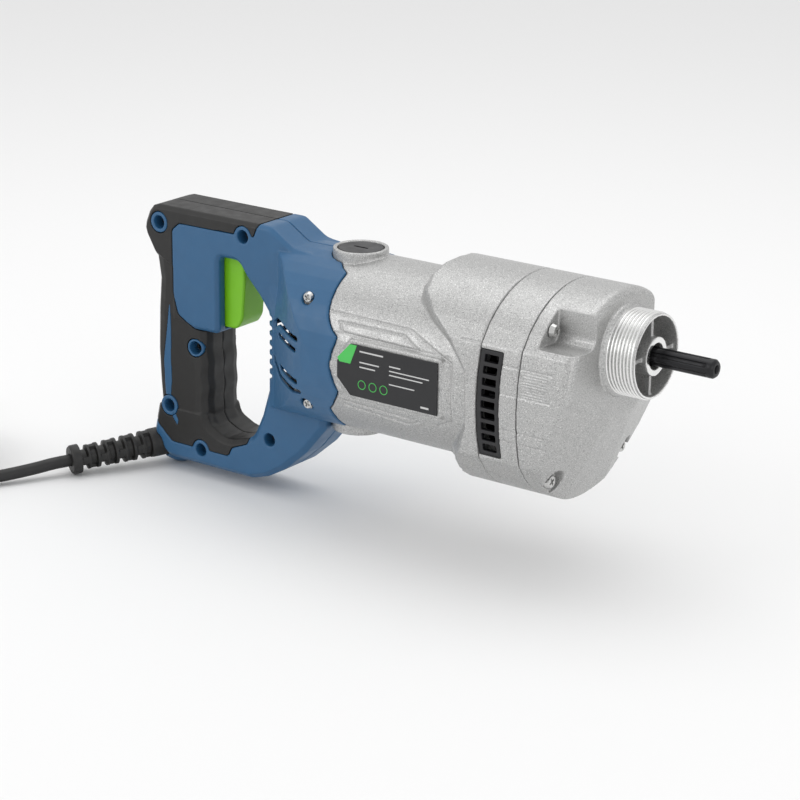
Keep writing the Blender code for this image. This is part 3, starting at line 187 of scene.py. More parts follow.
def finish(name, colour, roughness, metallic=0.0, speckle=(), grain=()):
    """A Principled material with procedural detail. Each speckle is (size mm, other colour, low, high),
    where low and high are the noise values that it grows between. Each grain is (size mm, height mm)."""
    made = bpy.data.materials.new(name)
    made.use_nodes = True
    shader = made.node_tree.nodes["Principled BSDF"]
    link = made.node_tree.links.new
    shader.inputs["Metallic"].default_value = metallic
    base = colour
    for size, other, low, high in speckle:
        base = mixed(made, between(made, noise(made, size), low, high, 0.0, 1.0), base, other)
    if isinstance(base, tuple):
        shade = tuple(channel * SHADE_DEPTH for channel in base)
        base = mixed(made, noise(made, SHADE_SIZE), shade, base)
    link(base, shader.inputs["Base Color"])
    least, most = roughness - GLOSS_SPREAD, roughness + GLOSS_SPREAD
    rough = between(made, noise(made, GLOSS_SIZE), 0.3, 0.7, least, most)
    link(rough, shader.inputs["Roughness"])
    normal = None
    for size, height in grain:
        bump = node(made, "ShaderNodeBump", Height=noise(made, size), Distance=height * MM, Strength=1.0)
        if normal is not None:
            link(normal, bump.inputs["Normal"])
        normal = bump.outputs["Normal"]
    if normal is not None:
        link(normal, shader.inputs["Normal"])
    return made


BLUE = finish("blue_moulding", (0.026, 0.112, 0.240), 0.42, grain=((0.5, 0.015), (1.4, 0.015)))
RUBBER = finish("grip_rubber", (0.013, 0.0125, 0.012), 0.50, grain=((0.35, 0.03), (1.0, 0.02)))
CAST = finish("cast_aluminium", (0.46, 0.46, 0.455), 0.42, 0.7,
              speckle=((0.7, (0.27, 0.27, 0.27), 0.50, 0.68), (0.5, (0.74, 0.74, 0.73), 0.54, 0.68)),
              grain=((0.6, 0.065), (2.4, 0.05)))
MACHINED = finish("machined_aluminium", (0.90, 0.90, 0.89), 0.22, 1.0, grain=((0.25, 0.008),))
STEEL = finish("bright_steel", (0.62, 0.62, 0.61), 0.28, 1.0, grain=((0.3, 0.008),))
DARK_STEEL = finish("black_oxide", (0.022, 0.022, 0.024), 0.36, 0.6, grain=((0.3, 0.012),))
BLACK = finish("black_moulding", (0.011, 0.011, 0.013), 0.42, grain=((0.4, 0.02),))
GREEN = finish("green_moulding", (0.20, 0.56, 0.008), 0.38, grain=((0.5, 0.012),))
JACKET = finish("cord_jacket", (0.011, 0.011, 0.011), 0.48, grain=((0.5, 0.02),))
COPPER = finish("copper_winding", (0.55, 0.20, 0.08), 0.35, 1.0, grain=((0.5, 0.1),))
BRASS = finish("brass", (0.72, 0.52, 0.22), 0.25, 1.0, grain=((0.3, 0.006),))
CARBON = finish("carbon", (0.03, 0.03, 0.03), 0.75, grain=((0.4, 0.02),))
SHEET_STACK = finish("sheet_stack", (0.23, 0.23, 0.24), 0.45, 0.9, grain=((0.5, 0.05),))
SEAL = finish("seal_rubber", (0.02, 0.02, 0.02), 0.7, grain=((0.5, 0.02),))

SLOT_FINISH = {
    "blue_plastic": BLUE, "grip_rubber": RUBBER, "cast_aluminium": CAST, "black_plastic": BLACK,
    "label": BLACK, "cord_jacket": JACKET, "green_plastic": GREEN, "steel": STEEL,
    "dark_steel": DARK_STEEL, "laminated_steel": SHEET_STACK, "copper": COPPER, "brass": BRASS,
    "carbon": CARBON, "seal_rubber": SEAL,
}
NODE_SLOT = {part["node"]: part["material_slot"] for part in frame["record"]["subparts"]}


# ---------------------------------------------------------------- mesh helpers

def new_piece(name, shape, material):
    """A new object of the bmesh, in the row frame. With no material it is a helper, removed later."""
    mesh = bpy.data.meshes.new(name)
    shape.to_mesh(mesh)
    shape.free()
    piece = bpy.data.objects.new(name, mesh)
    bpy.context.scene.collection.objects.link(piece)
    if material is not None:
        mesh.materials.append(material)
    return piece


def paint(piece, material):
    piece.data.materials.clear()
    piece.data.materials.append(material)
    for face in piece.data.polygons:
        face.material_index = 0


def soften(piece, angle=40.0):
    piece.data.shade_smooth()
    piece.data.set_sharp_from_angle(angle=math.radians(angle))


def stand_for(piece, body, slot, *nodes):
    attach(piece, body)
    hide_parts(*nodes)
    return piece


def add_on(piece, body):
    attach(piece, body)
    return piece


def copy_of(name, cad_node):
    """A closed copy of a CAD node's mesh."""
    shape = bmesh.new()
    shape.from_mesh(frame["nodes"][cad_node].data)
    bmesh.ops.remove_doubles(shape, verts=shape.verts, dist=1e-6)
    return new_piece(name, shape, None)


def applied(piece):
    """The object with its modifiers applied."""
    bpy.context.view_layer.update()
    graph = bpy.context.evaluated_depsgraph_get()
    mesh = bpy.data.meshes.new_from_object(piece.evaluated_get(graph))
    old = piece.data
    piece.modifiers.clear()
    piece.data = mesh
    bpy.data.meshes.remove(old)
    return piece


def boolean(piece, operation, helpers):
    for helper in helpers:
        step = piece.modifiers.new(operation.lower(), "BOOLEAN")
        step.operation = operation
        step.solver = "EXACT"
        step.object = helper
    applied(piece)
    for helper in helpers:
        bpy.data.objects.remove(helper, do_unlink=True)
    return piece


def eased(piece, rounds=2):
    ease_off = piece.modifiers.new("ease", "SMOOTH")
    ease_off.factor = 0.5
    ease_off.iterations = rounds
    return applied(piece)


def moulded(piece, voxel, rounds=2):
    """Rounds all the piece's edges as a moulding's or casting's are. The voxel size is in millimetres."""
    skin = piece.modifiers.new("skin", "REMESH")
    skin.mode = "VOXEL"
    skin.voxel_size = voxel * MM
    eased(piece, rounds)
    piece.data.shade_smooth()
    return piece


def finished(piece, material, slot, *nodes, keep=1.0, body="tool_body"):
    """Thins the mesh to the share kept, paints it and lets it stand for its CAD nodes."""
    if keep < 1.0:
        thin = piece.modifiers.new("thin", "DECIMATE")
        thin.ratio = keep
        applied(piece)
    piece.data.shade_smooth()
    paint(piece, material)
    return stand_for(piece, body, slot, *nodes)


def rod(start, end, radius):
    start, end = at(*start), at(*end)
    run = end - start
    shape = bmesh.new()
    frame_of_rod = Matrix.Translation(start + run / 2) @ run.to_track_quat("Z", "Y").to_matrix().to_4x4()
    bmesh.ops.create_cone(shape, cap_ends=True, segments=48, radius1=radius * MM, radius2=radius * MM,
                          depth=run.length, matrix=frame_of_rod)
    return new_piece("rod", shape, None)


def prism(outline, low_y, high_y):
    """A solid of the closed (x, z) outline between two places across the tool."""
    shape = bmesh.new()
    face = shape.faces.new([shape.verts.new(at(x, low_y, z)) for x, z in outline])
    grown = bmesh.ops.extrude_face_region(shape, geom=[face])
    moved = [item for item in grown["geom"] if isinstance(item, bmesh.types.BMVert)]
    bmesh.ops.translate(shape, verts=moved, vec=(0.0, (high_y - low_y) * MM, 0.0))
    bmesh.ops.recalc_face_normals(shape, faces=shape.faces)
    return new_piece("prism", shape, None)


def skinned(name, rings, material, closed=False):
    """Skins rings of the same number of points, given in the row frame. A closed skin joins its last ring
    to its first, and any other is capped at both ends."""
    shape = bmesh.new()
    rows = [[shape.verts.new(point) for point in points] for points in rings]
    pairs = list(zip(rows, rows[1:]))
    if closed:
        pairs.append((rows[-1], rows[0]))
    else:
        shape.faces.new(rows[0])
        shape.faces.new(rows[-1])
    for first, second in pairs:
        for i in range(len(first)):
            after = (i + 1) % len(first)
            shape.faces.new((first[i], first[after], second[after], second[i]))
    bmesh.ops.recalc_face_normals(shape, faces=shape.faces)
    return new_piece(name, shape, material)


def around_output_axis(x, radius_at, count):
    """A ring of points round the output axis; radius_at gives the radius for an angle."""
    points = []
    for i in range(count):
        turn = 2 * math.pi * i / count
        radius = radius_at(turn)
        points.append(at(x, radius * math.cos(turn), OUTPUT_AXIS_Z + radius * math.sin(turn)))
    return points


# ---------------------------------------------------------------- mains lead

CORD_DIAMETER = 7.0
GLAND_CENTRE = Vector((-128.0, 0.0, -84.0))
RELIEF_WAY = Vector((-0.5, -0.86, -0.085)).normalized()
RELIEF_START = 7.5
RELIEF_LENGTH = 60.0
EXIT_DISTANCE = 9.0
# Where the lead runs outside the handle, as (x, y, height of its centre above the floor)
CORD_ROUTE = ((-167, -67, 8.0), (-171.5, -75.5, 6.9), (-176.5, -85, 6.0), (-181.5, -94.2, 5.3),
              (-186.8, -103.3, 4.9), (-192.1, -112.4, 4.7), (-197.4, -121.5, 4.6), (-201.3, -128.1, 4.5),
              (-205.0, -134.5, 4.4))
COIL_CENTRE = (-253.7, -106.2)
COIL_RADIUS = 41.0
COIL_PITCH = 7.25
# Each turn's place in the winding, as (columns out from the middle column, layer)
TURNS = ((1, 0), (1, 1), (0, 1), (0, 0), (-1, 0), (-1, 1), (-1, 2), (0, 2), (1, 2))
# The winding starts at the first angle and runs clockwise, seen from above, through the whole angle. The
# lead moves over from one place in the winding to the next while it turns through the shift angle.
FIRST_ANGLE = -30.2
WHOLE_ANGLE = 2669.8
TURN_ANGLE = WHOLE_ANGLE / len(TURNS)
SHIFT_ANGLE = 105.0
POINTS_A_TURN = 20
FIRST_LAYER_HEIGHT = 3.8
# The first stretch comes in from a little outside the winding, over this angle
START_OUTSIDE = 8.05
START_ANGLE = 100.0
# From the coil to the plug, as (x, y, height)
PLUG_LEAD = ((-302.5, -99.5, 18.1), (-303.6, -92.5, 16.9), (-305.1, -85.5, 14.7), (-306.4, -78.5, 12.5),
             (-306.9, -72.5, 11.5), (-307, -66.5, 11.3))


def ease(share):
    """A smooth step from 0 to 1 as the share goes from 0 to 1."""
    share = min(1.0, max(0.0, share))
    return share ** 3 * (share * (share * 6 - 15) + 10)


def winding_cell(angle):
    """Where in the winding the lead lies after turning by the angle, moving over between turns."""
    column, layer = TURNS[0]
    for i, (next_column, next_layer) in enumerate(TURNS[1:], 1):
        share = ease((angle - i * TURN_ANGLE + SHIFT_ANGLE / 2) / SHIFT_ANGLE)
        column += (next_column - TURNS[i - 1][0]) * share
        layer += (next_layer - TURNS[i - 1][1]) * share
    return column, layer


def coil_points():
    """The middle of the lead all round the coil, as (x, y, height above the floor)."""
    points = []
    count = int(WHOLE_ANGLE / 360 * POINTS_A_TURN)
    for i in range(1, count + 1):
        angle = WHOLE_ANGLE * i / count
        column, layer = winding_cell(angle)
        radius = COIL_RADIUS + column * COIL_PITCH + START_OUTSIDE * (1 - ease(angle / START_ANGLE))
        height = FIRST_LAYER_HEIGHT + layer * COIL_PITCH
        turn = math.radians(FIRST_ANGLE - angle)
        x = COIL_CENTRE[0] + radius * math.cos(turn)
        y = COIL_CENTRE[1] + radius * math.sin(turn)
        points.append((x, y, height))
    return points


def relief_point(distance):
    """A point on the relief's middle line, at a distance from the gland's centre."""
    return GLAND_CENTRE + RELIEF_WAY * distance


def build_cord():
    relief_end = RELIEF_START + RELIEF_LENGTH
    route = [at(*relief_point(distance)) for distance in (EXIT_DISTANCE, 30.0, 50.0, relief_end)]
    route += [at(x, y, FLOOR_Z + height) for x, y, height in (*CORD_ROUTE, *coil_points(), *PLUG_LEAD)]
    curve = bpy.data.curves.new("power_lead", "CURVE")
    curve.dimensions = "3D"
    curve.bevel_depth = CORD_DIAMETER / 2 * MM
    curve.bevel_resolution = 4
    curve.resolution_u = 4
    curve.use_fill_caps = True
    spline = curve.splines.new("BEZIER")
    spline.bezier_points.add(len(route) - 1)
    for point, place in zip(spline.bezier_points, route):
        point.co = place
        point.handle_left_type = point.handle_right_type = "AUTO"
    cord = bpy.data.objects.new("power_lead", curve)
    bpy.context.scene.collection.objects.link(cord)
    curve.materials.append(JACKET)
    length = spline.calc_length()
    stand_for(cord, "tool_body", "cord_jacket", "power_cord", "cord_coil")
    return cord, length


# The strain relief: a plain collar, then a taper with pairs of slots that turn by a quarter each time
RELIEF_SIDES = 64
RELIEF_STEP = 0.4
COLLAR_LENGTH = 12.0
COLLAR_RADIUS = 8.35
COLLAR_DROP = 0.5
END_RING_LENGTH = 5.2
END_RING_RADIUS = 8.4
END_RING_DROP = 0.8
TAPER_RADII = (8.2, 6.7)
EDGE_ROUND = 1.2
RIB_PITCH = 5.4
SLOT_DEPTH = 2.0
GROOVE_DEPTH = 0.35
# A groove's half width as a share of the rib pitch, and where a slot begins as a cosine round the relief,
# each with the width of its soft edge
GROOVE_HALF_WIDTH, GROOVE_EDGE = 0.36, 0.08
SLOT_START, SLOT_EDGE = 0.30, 0.10


def relief_radius(distance, turn):
    """The relief's radius at a distance from its start and an angle round it."""
    if distance < COLLAR_LENGTH:
        return COLLAR_RADIUS - COLLAR_DROP * ease((EDGE_ROUND - distance) / EDGE_ROUND)
    if distance > RELIEF_LENGTH - END_RING_LENGTH:
        return END_RING_RADIUS - END_RING_DROP * ease((distance - RELIEF_LENGTH + EDGE_ROUND) / EDGE_ROUND)
    share = (distance - COLLAR_LENGTH) / (RELIEF_LENGTH - COLLAR_LENGTH)
    taper = TAPER_RADII[0] + (TAPER_RADII[1] - TAPER_RADII[0]) * share
    place = (distance - COLLAR_LENGTH) / RIB_PITCH
    rib = math.floor(place)
    in_groove = ease((GROOVE_HALF_WIDTH - abs(place - rib - 0.5)) / GROOVE_EDGE)
    quarter = abs(math.cos(turn + rib % 2 * math.pi / 2))
    in_slot = ease((quarter - SLOT_START) / SLOT_EDGE)
    return taper - SLOT_DEPTH * in_groove * in_slot - GROOVE_DEPTH * in_groove


def relief_ring(distance, radius_at):
    """A ring of points round the relief's middle line, at a distance from its start."""
    across = RELIEF_WAY.cross(Vector((0, 0, 1))).normalized()
    rise = across.cross(RELIEF_WAY)
    middle = at(*relief_point(RELIEF_START + distance))
    points = []
    for i in range(RELIEF_SIDES):
        turn = 2 * math.pi * i / RELIEF_SIDES
        spoke = across * math.cos(turn) + rise * math.sin(turn)
        points.append(middle + spoke * (radius_at(turn) * MM))
    return points


def build_relief():
    rings = []
    for distance in np.arange(0.0, RELIEF_LENGTH + RELIEF_STEP / 2, RELIEF_STEP):
        rings.append(relief_ring(float(distance), lambda turn: relief_radius(distance, turn)))
    bore = CORD_DIAMETER / 2 + 0.25
    for distance in (RELIEF_LENGTH, 0.0):
        rings.append(relief_ring(distance, lambda turn: bore))
    relief = skinned("relief_sleeve", rings, RUBBER, closed=True)
    soften(relief, 50)
    return stand_for(relief, "tool_body", "grip_rubber", "strain_relief")


def build_plug():
    body = copy_of("plug_moulding", "plug_body")
    moulded(body, 0.6, rounds=3)
    paint(body, BLACK)
    return stand_for(body, "tool_body", "black_plastic", "plug_body")


def build_tie():
    band = copy_of("tie_band", "cable_tie")
    moulded(band, 0.35, rounds=2)
    paint(band, BLACK)
    return stand_for(band, "tool_body", "black_plastic", "cable_tie")


build_camera()
cord, cord_length = build_cord()
relief = build_relief()
plug = build_plug()
tie = build_tie()
build_studio()


# ---------------------------------------------------------------- shaped castings and mouldings

def points_of(piece):
    """The piece's vertices and their normals in the tool's own millimetres."""
    mesh = piece.data
    places = np.empty(len(mesh.vertices) * 3, np.float32)
    mesh.vertices.foreach_get("co", places)
    normals = np.empty(len(mesh.vertices) * 3, np.float32)
    mesh.vertex_normals.foreach_get("vector", normals)
    places = places.reshape(-1, 3).astype(float)
    return (places - np.array(MOTOR_AXIS)) / MM, normals.reshape(-1, 3).astype(float)


def move_points(piece, places):
    mesh = piece.data
    mesh.vertices.foreach_set("co", (places * MM + np.array(MOTOR_AXIS)).astype(np.float32).ravel())
    mesh.update()


def distance_to_line(u, v, line):
    """How far each point (u, v) is from the open line."""
    nearest = np.full(len(u), 1e9)
    for (u1, v1), (u2, v2) in zip(line, line[1:]):
        run_u, run_v = u2 - u1, v2 - v1
        along = np.clip(((u - u1) * run_u + (v - v1) * run_v) / (run_u ** 2 + run_v ** 2), 0, 1)
        nearest = np.minimum(nearest, np.hypot(u - u1 - along * run_u, v - v1 - along * run_v))
    return nearest


def scored(piece, lines, depth, half_width, least_y=30.0):
    """Presses (x, z) lines into both flanks of the piece as soft grooves."""
    places, normals = points_of(piece)
    on_flank = np.where((np.abs(places[:, 1]) > least_y) & (np.abs(normals[:, 1]) > 0.5))[0]
    x, z = places[on_flank, 0], places[on_flank, 2]
    outward = np.sign(normals[on_flank, 1]) == np.sign(places[on_flank, 1])
    press = np.zeros(len(on_flank))
    for line in lines:
        press = np.maximum(press, np.exp(-(distance_to_line(x, z, line) / half_width) ** 2))
    places[on_flank] -= normals[on_flank] * (press * outward * depth)[:, None]
    move_points(piece, places)


def closed_line(*corners):
    return (*corners, corners[0])


# Mould lines and raised-panel outlines on the motor housing's flanks, as (x, z)
HOUSING_LINES = (
    ((10, 26.5), (62, 25.8), (90.5, 14.6), (91.8, 11.3), (91.4, -3.9), (91.3, -16.4), (82, -21)),
    closed_line((17.5, 22.5), (21.5, 17.7), (70, 17), (59, 22.7)),
    closed_line((19.5, -19.5), (21.5, -22.5), (60, -25.5), (70, -22.0)),
    ((99, 30.5), (110, 30.5)),
)
HOUSING_LINE_DEPTH = 0.8
HOUSING_LINE_HALF_WIDTH = 0.5
CASE_LINES = tuple(((110, z), (154, z)) for z in (22.0, 8.0, -11.0, -17.0))
CASE_LINE_DEPTH = 0.55
CASE_LINE_HALF_WIDTH = 0.42
CASE_FLANK_Y = 44.0
# The ruled patch on the front cover's flanks: its ends along x, its lowest and highest line
PATCH_X = (137.0, 151.5)
PATCH_Z = (9.2, 20.6)
PATCH_PITCHES = 8
PATCH_DEPTH = 0.7
PATCH_HALF_WIDTH = 0.38

# The gear case's section: an arc over the top and bottom, a bevel at each corner, and slightly bowed sides
CASE_RADIUS = 57.0
CASE_CORNER = (42.0, 38.5)
CASE_SIDE_TOP = (48.3, 30.0)
CASE_HALF_WIDTH = 52.6
MOTOR_RADIUS = 47.4
# The flat bed of the rating plate, which isn't round
PLATE_BED_X = (16, 90)
PLATE_BED_HALF_HEIGHT = 17.5


def section_radius(y, z):
    """How far the gear case's section is from the motor axis, in the direction of each point (y, z)."""
    reach = np.maximum(np.hypot(y, z), 1e-6)
    across, up = np.abs(y) / reach, np.abs(z) / reach
    bulge = CASE_HALF_WIDTH - CASE_SIDE_TOP[0]
    side_radius = (CASE_SIDE_TOP[1] ** 2 + bulge ** 2) / (2 * bulge)
    behind = side_radius - CASE_HALF_WIDTH
    side = np.sqrt((behind * across) ** 2 - behind ** 2 + side_radius ** 2) - behind * across
    run = (CASE_SIDE_TOP[0] - CASE_CORNER[0], CASE_SIDE_TOP[1] - CASE_CORNER[1])
    facet = ((CASE_CORNER[0] * run[1] - CASE_CORNER[1] * run[0])
             / np.minimum(across * run[1] - up * run[0], -1e-6))
    slope = across / np.maximum(up, 1e-6)
    radius = np.where(slope > CASE_SIDE_TOP[0] / CASE_SIDE_TOP[1], side, facet)
    return np.where(slope < CASE_CORNER[0] / CASE_CORNER[1], CASE_RADIUS, radius)


TRUING_REACH = 0.8


def trued(piece, radii):
    """Brings the outer skin onto its true curve: points that are near one of the radii. A radius of None
    is the gear case's own section."""
    places, normals = points_of(piece)
    x, y, z = places.T
    radius = np.maximum(np.hypot(y, z), 1e-6)
    outward = (normals[:, 1] * y + normals[:, 2] * z) / radius
    beside_plate = (x > PLATE_BED_X[0]) & (x < PLATE_BED_X[1]) & (np.abs(z) < PLATE_BED_HALF_HEIGHT) & (y < 0)
    for wanted in radii:
        target = section_radius(y, z) if wanted is None else np.full(len(x), wanted)
        near = (np.abs(radius - target) < TRUING_REACH) & (outward > 0.8) & ~beside_plate
        scale = np.where(near, target / radius, 1.0)
        places[:, 1] *= scale
        places[:, 2] *= scale
    move_points(piece, places)


def build_motor_housing():
    housing = copy_of("motor_casting", "motor_housing")
    moulded(housing, 0.62, rounds=3)
    trued(housing, (MOTOR_RADIUS, None))
    eased(housing)
    scored(housing, HOUSING_LINES, HOUSING_LINE_DEPTH, HOUSING_LINE_HALF_WIDTH)
    return finished(housing, CAST, "cast_aluminium", "motor_housing", keep=0.4)


def build_gear_housing():
    case = copy_of("gear_casting", "gear_housing")
    moulded(case, 0.55, rounds=2)
    trued(case, (None,))
    eased(case)
    scored(case, CASE_LINES, CASE_LINE_DEPTH, CASE_LINE_HALF_WIDTH, least_y=CASE_FLANK_Y)
    return finished(case, CAST, "cast_aluminium", "gear_housing", keep=0.5)


NOSE_RADIUS = 22.5
NOSE_FRONT_X = 183.5
THREAD_START_X = 167.6
THREAD_PITCH = 2.0
THREAD_DEPTH = 1.15
THREAD_BORE = 20.9
THREAD_STEP = 0.2
THREAD_SIDES = 96
THREAD_RUN_OUT = 1.4
# The ring cut out of the plain nose for the thread
ROOM_RADII = (21.9, 26.0)
ROOM_END_X = 186.0
# The radius of the cover's front edge, and where on its front face the face's own x is read
FRONT_EDGE = 4.8
FACE_REACH = 52
FACE_HALF_WIDTH = 20


def round_front_edge(cover):
    """Rounds the outer edge of the cover's front face."""
    places, _ = points_of(cover)
    x, y, z = places.T
    front = x[(np.hypot(y, z) > FACE_REACH) & (np.abs(y) < FACE_HALF_WIDTH) & (z > 0)].max()
    radius = np.maximum(np.hypot(y, z), 1e-6)
    forward = (x - (front - FRONT_EDGE)) / FRONT_EDGE
    outward = (radius - (section_radius(y, z) - FRONT_EDGE)) / FRONT_EDGE
    over = np.hypot(forward, outward)
    edge = (forward > 0) & (outward > 0) & (over > 1) & (x < front + 0.5)
    scale = np.where(edge, 1 / np.maximum(over, 1e-6), 1.0)
    moved = np.where(edge, (radius + FRONT_EDGE * outward * (scale - 1)) / radius, 1.0)
    places[:, 0] = np.where(edge, front - FRONT_EDGE + FRONT_EDGE * forward * scale, x)
    places[:, 1] *= moved
    places[:, 2] *= moved
    move_points(cover, places)


def build_front_cover():
    cover = copy_of("front_casting", "front_cover")
    inner, outer = ROOM_RADII
    room = ((THREAD_START_X, inner), (THREAD_START_X, outer), (ROOM_END_X, outer), (ROOM_END_X, inner))
    thread_room = [around_output_axis(x, lambda turn, r=radius: r, 64) for x, radius in room]
    boolean(cover, "DIFFERENCE", [skinned("thread_room", thread_room, None, closed=True)])
    moulded(cover, 0.5, rounds=2)
    trued(cover, (None,))
    round_front_edge(cover)
    eased(cover)
    scored(cover, CASE_LINES, CASE_LINE_DEPTH, CASE_LINE_HALF_WIDTH, least_y=CASE_FLANK_Y)
    heights = [PATCH_Z[0] + (PATCH_Z[1] - PATCH_Z[0]) * i / PATCH_PITCHES for i in range(PATCH_PITCHES + 1)]
    patch = [((PATCH_X[0], z), (PATCH_X[1], z)) for z in heights]
    scored(cover, patch, PATCH_DEPTH, PATCH_HALF_WIDTH, least_y=CASE_FLANK_Y)
    finished(cover, CAST, "cast_aluminium", "front_cover", keep=0.5)
    brighten_front(cover)


def brighten_front(cover):
    """The nose's front faces are machined bright: a second material on those faces."""
    cover.data.materials.append(MACHINED)
    mesh = cover.data
    centres = np.empty(len(mesh.polygons) * 3, np.float32)
    mesh.polygons.foreach_get("center", centres)
    normals = np.empty(len(mesh.polygons) * 3, np.float32)
    mesh.polygons.foreach_get("normal", normals)
    centres = (centres.reshape(-1, 3) - np.array(MOTOR_AXIS)) / MM
    forward = normals.reshape(-1, 3)[:, 0] > 0.8
    bright = forward & (centres[:, 0] > NOSE_FRONT_X - 0.6)
    mesh.polygons.foreach_set("material_index", bright.astype(np.int32))


def thread_radius(x, turn):
    """The radius of the nose's screw thread, which fades out over the last turn."""
    phase = ((x - THREAD_START_X) / THREAD_PITCH - turn / (2 * math.pi)) % 1.0
    ridge = min(1.0, 1.25 * (1 - abs(2 * phase - 1)))
    run_out = min(1.0, (NOSE_FRONT_X - x) / THREAD_RUN_OUT)
    return NOSE_RADIUS - THREAD_DEPTH * (1 - ridge * run_out)


def build_nose_thread():
    rings = []
    for x in np.arange(THREAD_START_X, NOSE_FRONT_X + THREAD_STEP / 2, THREAD_STEP):
        rings.append(around_output_axis(float(x), lambda turn: thread_radius(float(x), turn), THREAD_SIDES))
    for x in (NOSE_FRONT_X, THREAD_START_X):
        rings.append(around_output_axis(x, lambda turn: THREAD_BORE, THREAD_SIDES))
    thread = skinned("nose_thread", rings, MACHINED, closed=True)
    soften(thread, 60)
    add_on(thread, "tool_body")


SHAFT_RADIUS = 4.9
GEAR_SEAT_RADIUS = 7.95
GEAR_SEAT_END_X = 146.8
REAR_JOURNAL_RADIUS = 2.9
REAR_JOURNAL_LENGTH = 6.6
SPLINES = 6
SPLINE_DEPTH = 1.0
SPLINE_START_X = 171.5
SPLINE_END_X = 210.0


def spline_depth(turn):
    """How much of the spline groove's depth there is at an angle round the shaft, from 0 to 1."""
    phase = (turn * SPLINES / (2 * math.pi)) % 1.0
    return ease((0.27 - abs(phase - 0.5)) / 0.07)


def build_output_shaft():
    """The black driving shaft with its splined end, a chamfered tip and a centre hole."""
    low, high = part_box("output_shaft")
    start = (low.x - MOTOR_AXIS.x) / MM
    tip = (high.x - MOTOR_AXIS.x) / MM
    journal_end = start + REAR_JOURNAL_LENGTH
    # Each stage is (x, radius, depth of the spline grooves)
    stages = [(start, REAR_JOURNAL_RADIUS, 0), (journal_end, REAR_JOURNAL_RADIUS, 0)]
    stages += [(journal_end, GEAR_SEAT_RADIUS, 0), (GEAR_SEAT_END_X, GEAR_SEAT_RADIUS, 0)]
    stages += [(GEAR_SEAT_END_X, SHAFT_RADIUS, 0), (SPLINE_START_X, SHAFT_RADIUS, 0)]
    stages += [(SPLINE_START_X + 1.5, SHAFT_RADIUS, SPLINE_DEPTH)]
    stages += [(x, SHAFT_RADIUS, SPLINE_DEPTH) for x in (180, 190, 200, SPLINE_END_X)]
    stages += [(SPLINE_END_X + 2.5, SHAFT_RADIUS, 0.75 * SPLINE_DEPTH)]
    stages += [(SPLINE_END_X + 3.6, SHAFT_RADIUS, 0.0)]
    chamfer = ((1.4, SHAFT_RADIUS), (1.2, 4.85), (0.1, 3.95), (0.0, 3.8))
    centre_hole = ((0.0, 2.3), (0.3, 2.15), (2.6, 0.9), (5.0, 0.85))
    stages += [(tip - inset, radius, 0.0) for inset, radius in (*chamfer, *centre_hole)]
    rings = []
    for x, radius, depth in stages:
        rings.append(around_output_axis(x, lambda turn: radius - depth * spline_depth(turn), 96))
    shaft = skinned("splined_shaft", rings, DARK_STEEL)
    soften(shaft, 38)
    return stand_for(shaft, "output", "dark_steel", "output_shaft")


# The thin blue stripe down the near back of the grip, as (x, z)
STRIPE = ((-122, -0.6), (-123.8, -15), (-126.5, -33), (-126, -48), (-125.5, -57), (-122.7, -62.5),
          (-116.8, -70.3), (-116, -67), (-120.2, -60), (-121.6, -52), (-120.8, -44), (-121.2, -32.3),
          (-120.8, -14.5), (-121.2, 1.3))
STRIPE_GAP = 0.25
STRIPE_Y = (4.0, 24.0)


HANDLE_SCREWS = tuple(f"handle_screw_{i}" for i in range(1, 7))
HEAD_HEIGHT = 2.2
SCREW_SINK = 3.4
SCREW_ROOM = 3.75
POCKET_REACH = 9.0


def screw_pocket(name):
    """The deep round pocket that a handle screw's head sits in."""
    low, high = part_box(name)
    middle = ((low + high) / 2 - MOTOR_AXIS) / MM
    outer = (low.y - MOTOR_AXIS.y) / MM
    seat = outer + HEAD_HEIGHT + SCREW_SINK
    return rod((middle.x, outer - POCKET_REACH, middle.z), (middle.x, seat, middle.z), SCREW_ROOM)


# Finger waves on the front of the grip
WAVE_TOP_Z = -16.0
WAVE_PITCH = 14.5
WAVE_COUNT = 3
WAVE_HEIGHT = 0.7
GRIP_FRONT_X = -104.0


def waved(grip):
    """Presses shallow finger waves into the front of the grip."""
    places, normals = points_of(grip)
    down = (WAVE_TOP_Z - places[:, 2]) / WAVE_PITCH
    inside = (down > 0) & (down < WAVE_COUNT) & (normals[:, 0] > 0.3) & (places[:, 0] > GRIP_FRONT_X)
    press = WAVE_HEIGHT * (0.5 - 0.5 * np.cos(2 * math.pi * down)) * normals[:, 0]
    places[:, 0] -= np.where(inside, press, 0.0)
    move_points(grip, places)


def grown(outline, gap):
    """The outline with each corner moved away from its middle by the gap."""
    corners = np.array(outline)
    out = corners - corners.mean(axis=0)
    return [tuple(corner) for corner in corners + gap * out / np.linalg.norm(out, axis=1)[:, None]]


def build_handle():
    for side, name in ((-1, "left"), (1, "right")):
        shell = copy_of(f"handle_shell_{name}", f"handle_{name}")
        if side < 0:
            boolean(shell, "DIFFERENCE", [screw_pocket(screw) for screw in HANDLE_SCREWS])
        moulded(shell, 0.62, rounds=3)
        finished(shell, BLUE, "blue_plastic", f"handle_{name}", keep=0.5)
        grip = copy_of(f"grip_skin_{name}", f"grip_rubber_{name}")
        stripe = copy_of(f"grip_stripe_{name}", f"grip_rubber_{name}")
        low_y, high_y = sorted(side * y for y in STRIPE_Y)
        boolean(stripe, "INTERSECT", [prism(STRIPE, low_y, high_y)])
        boolean(grip, "DIFFERENCE", [prism(grown(STRIPE, STRIPE_GAP), low_y, high_y)])
        moulded(grip, 0.5, rounds=3)
        waved(grip)
        finished(grip, RUBBER, "grip_rubber", f"grip_rubber_{name}", keep=0.5)
        moulded(stripe, 0.3, rounds=2)
        paint(stripe, BLUE)
        add_on(stripe, "tool_body")


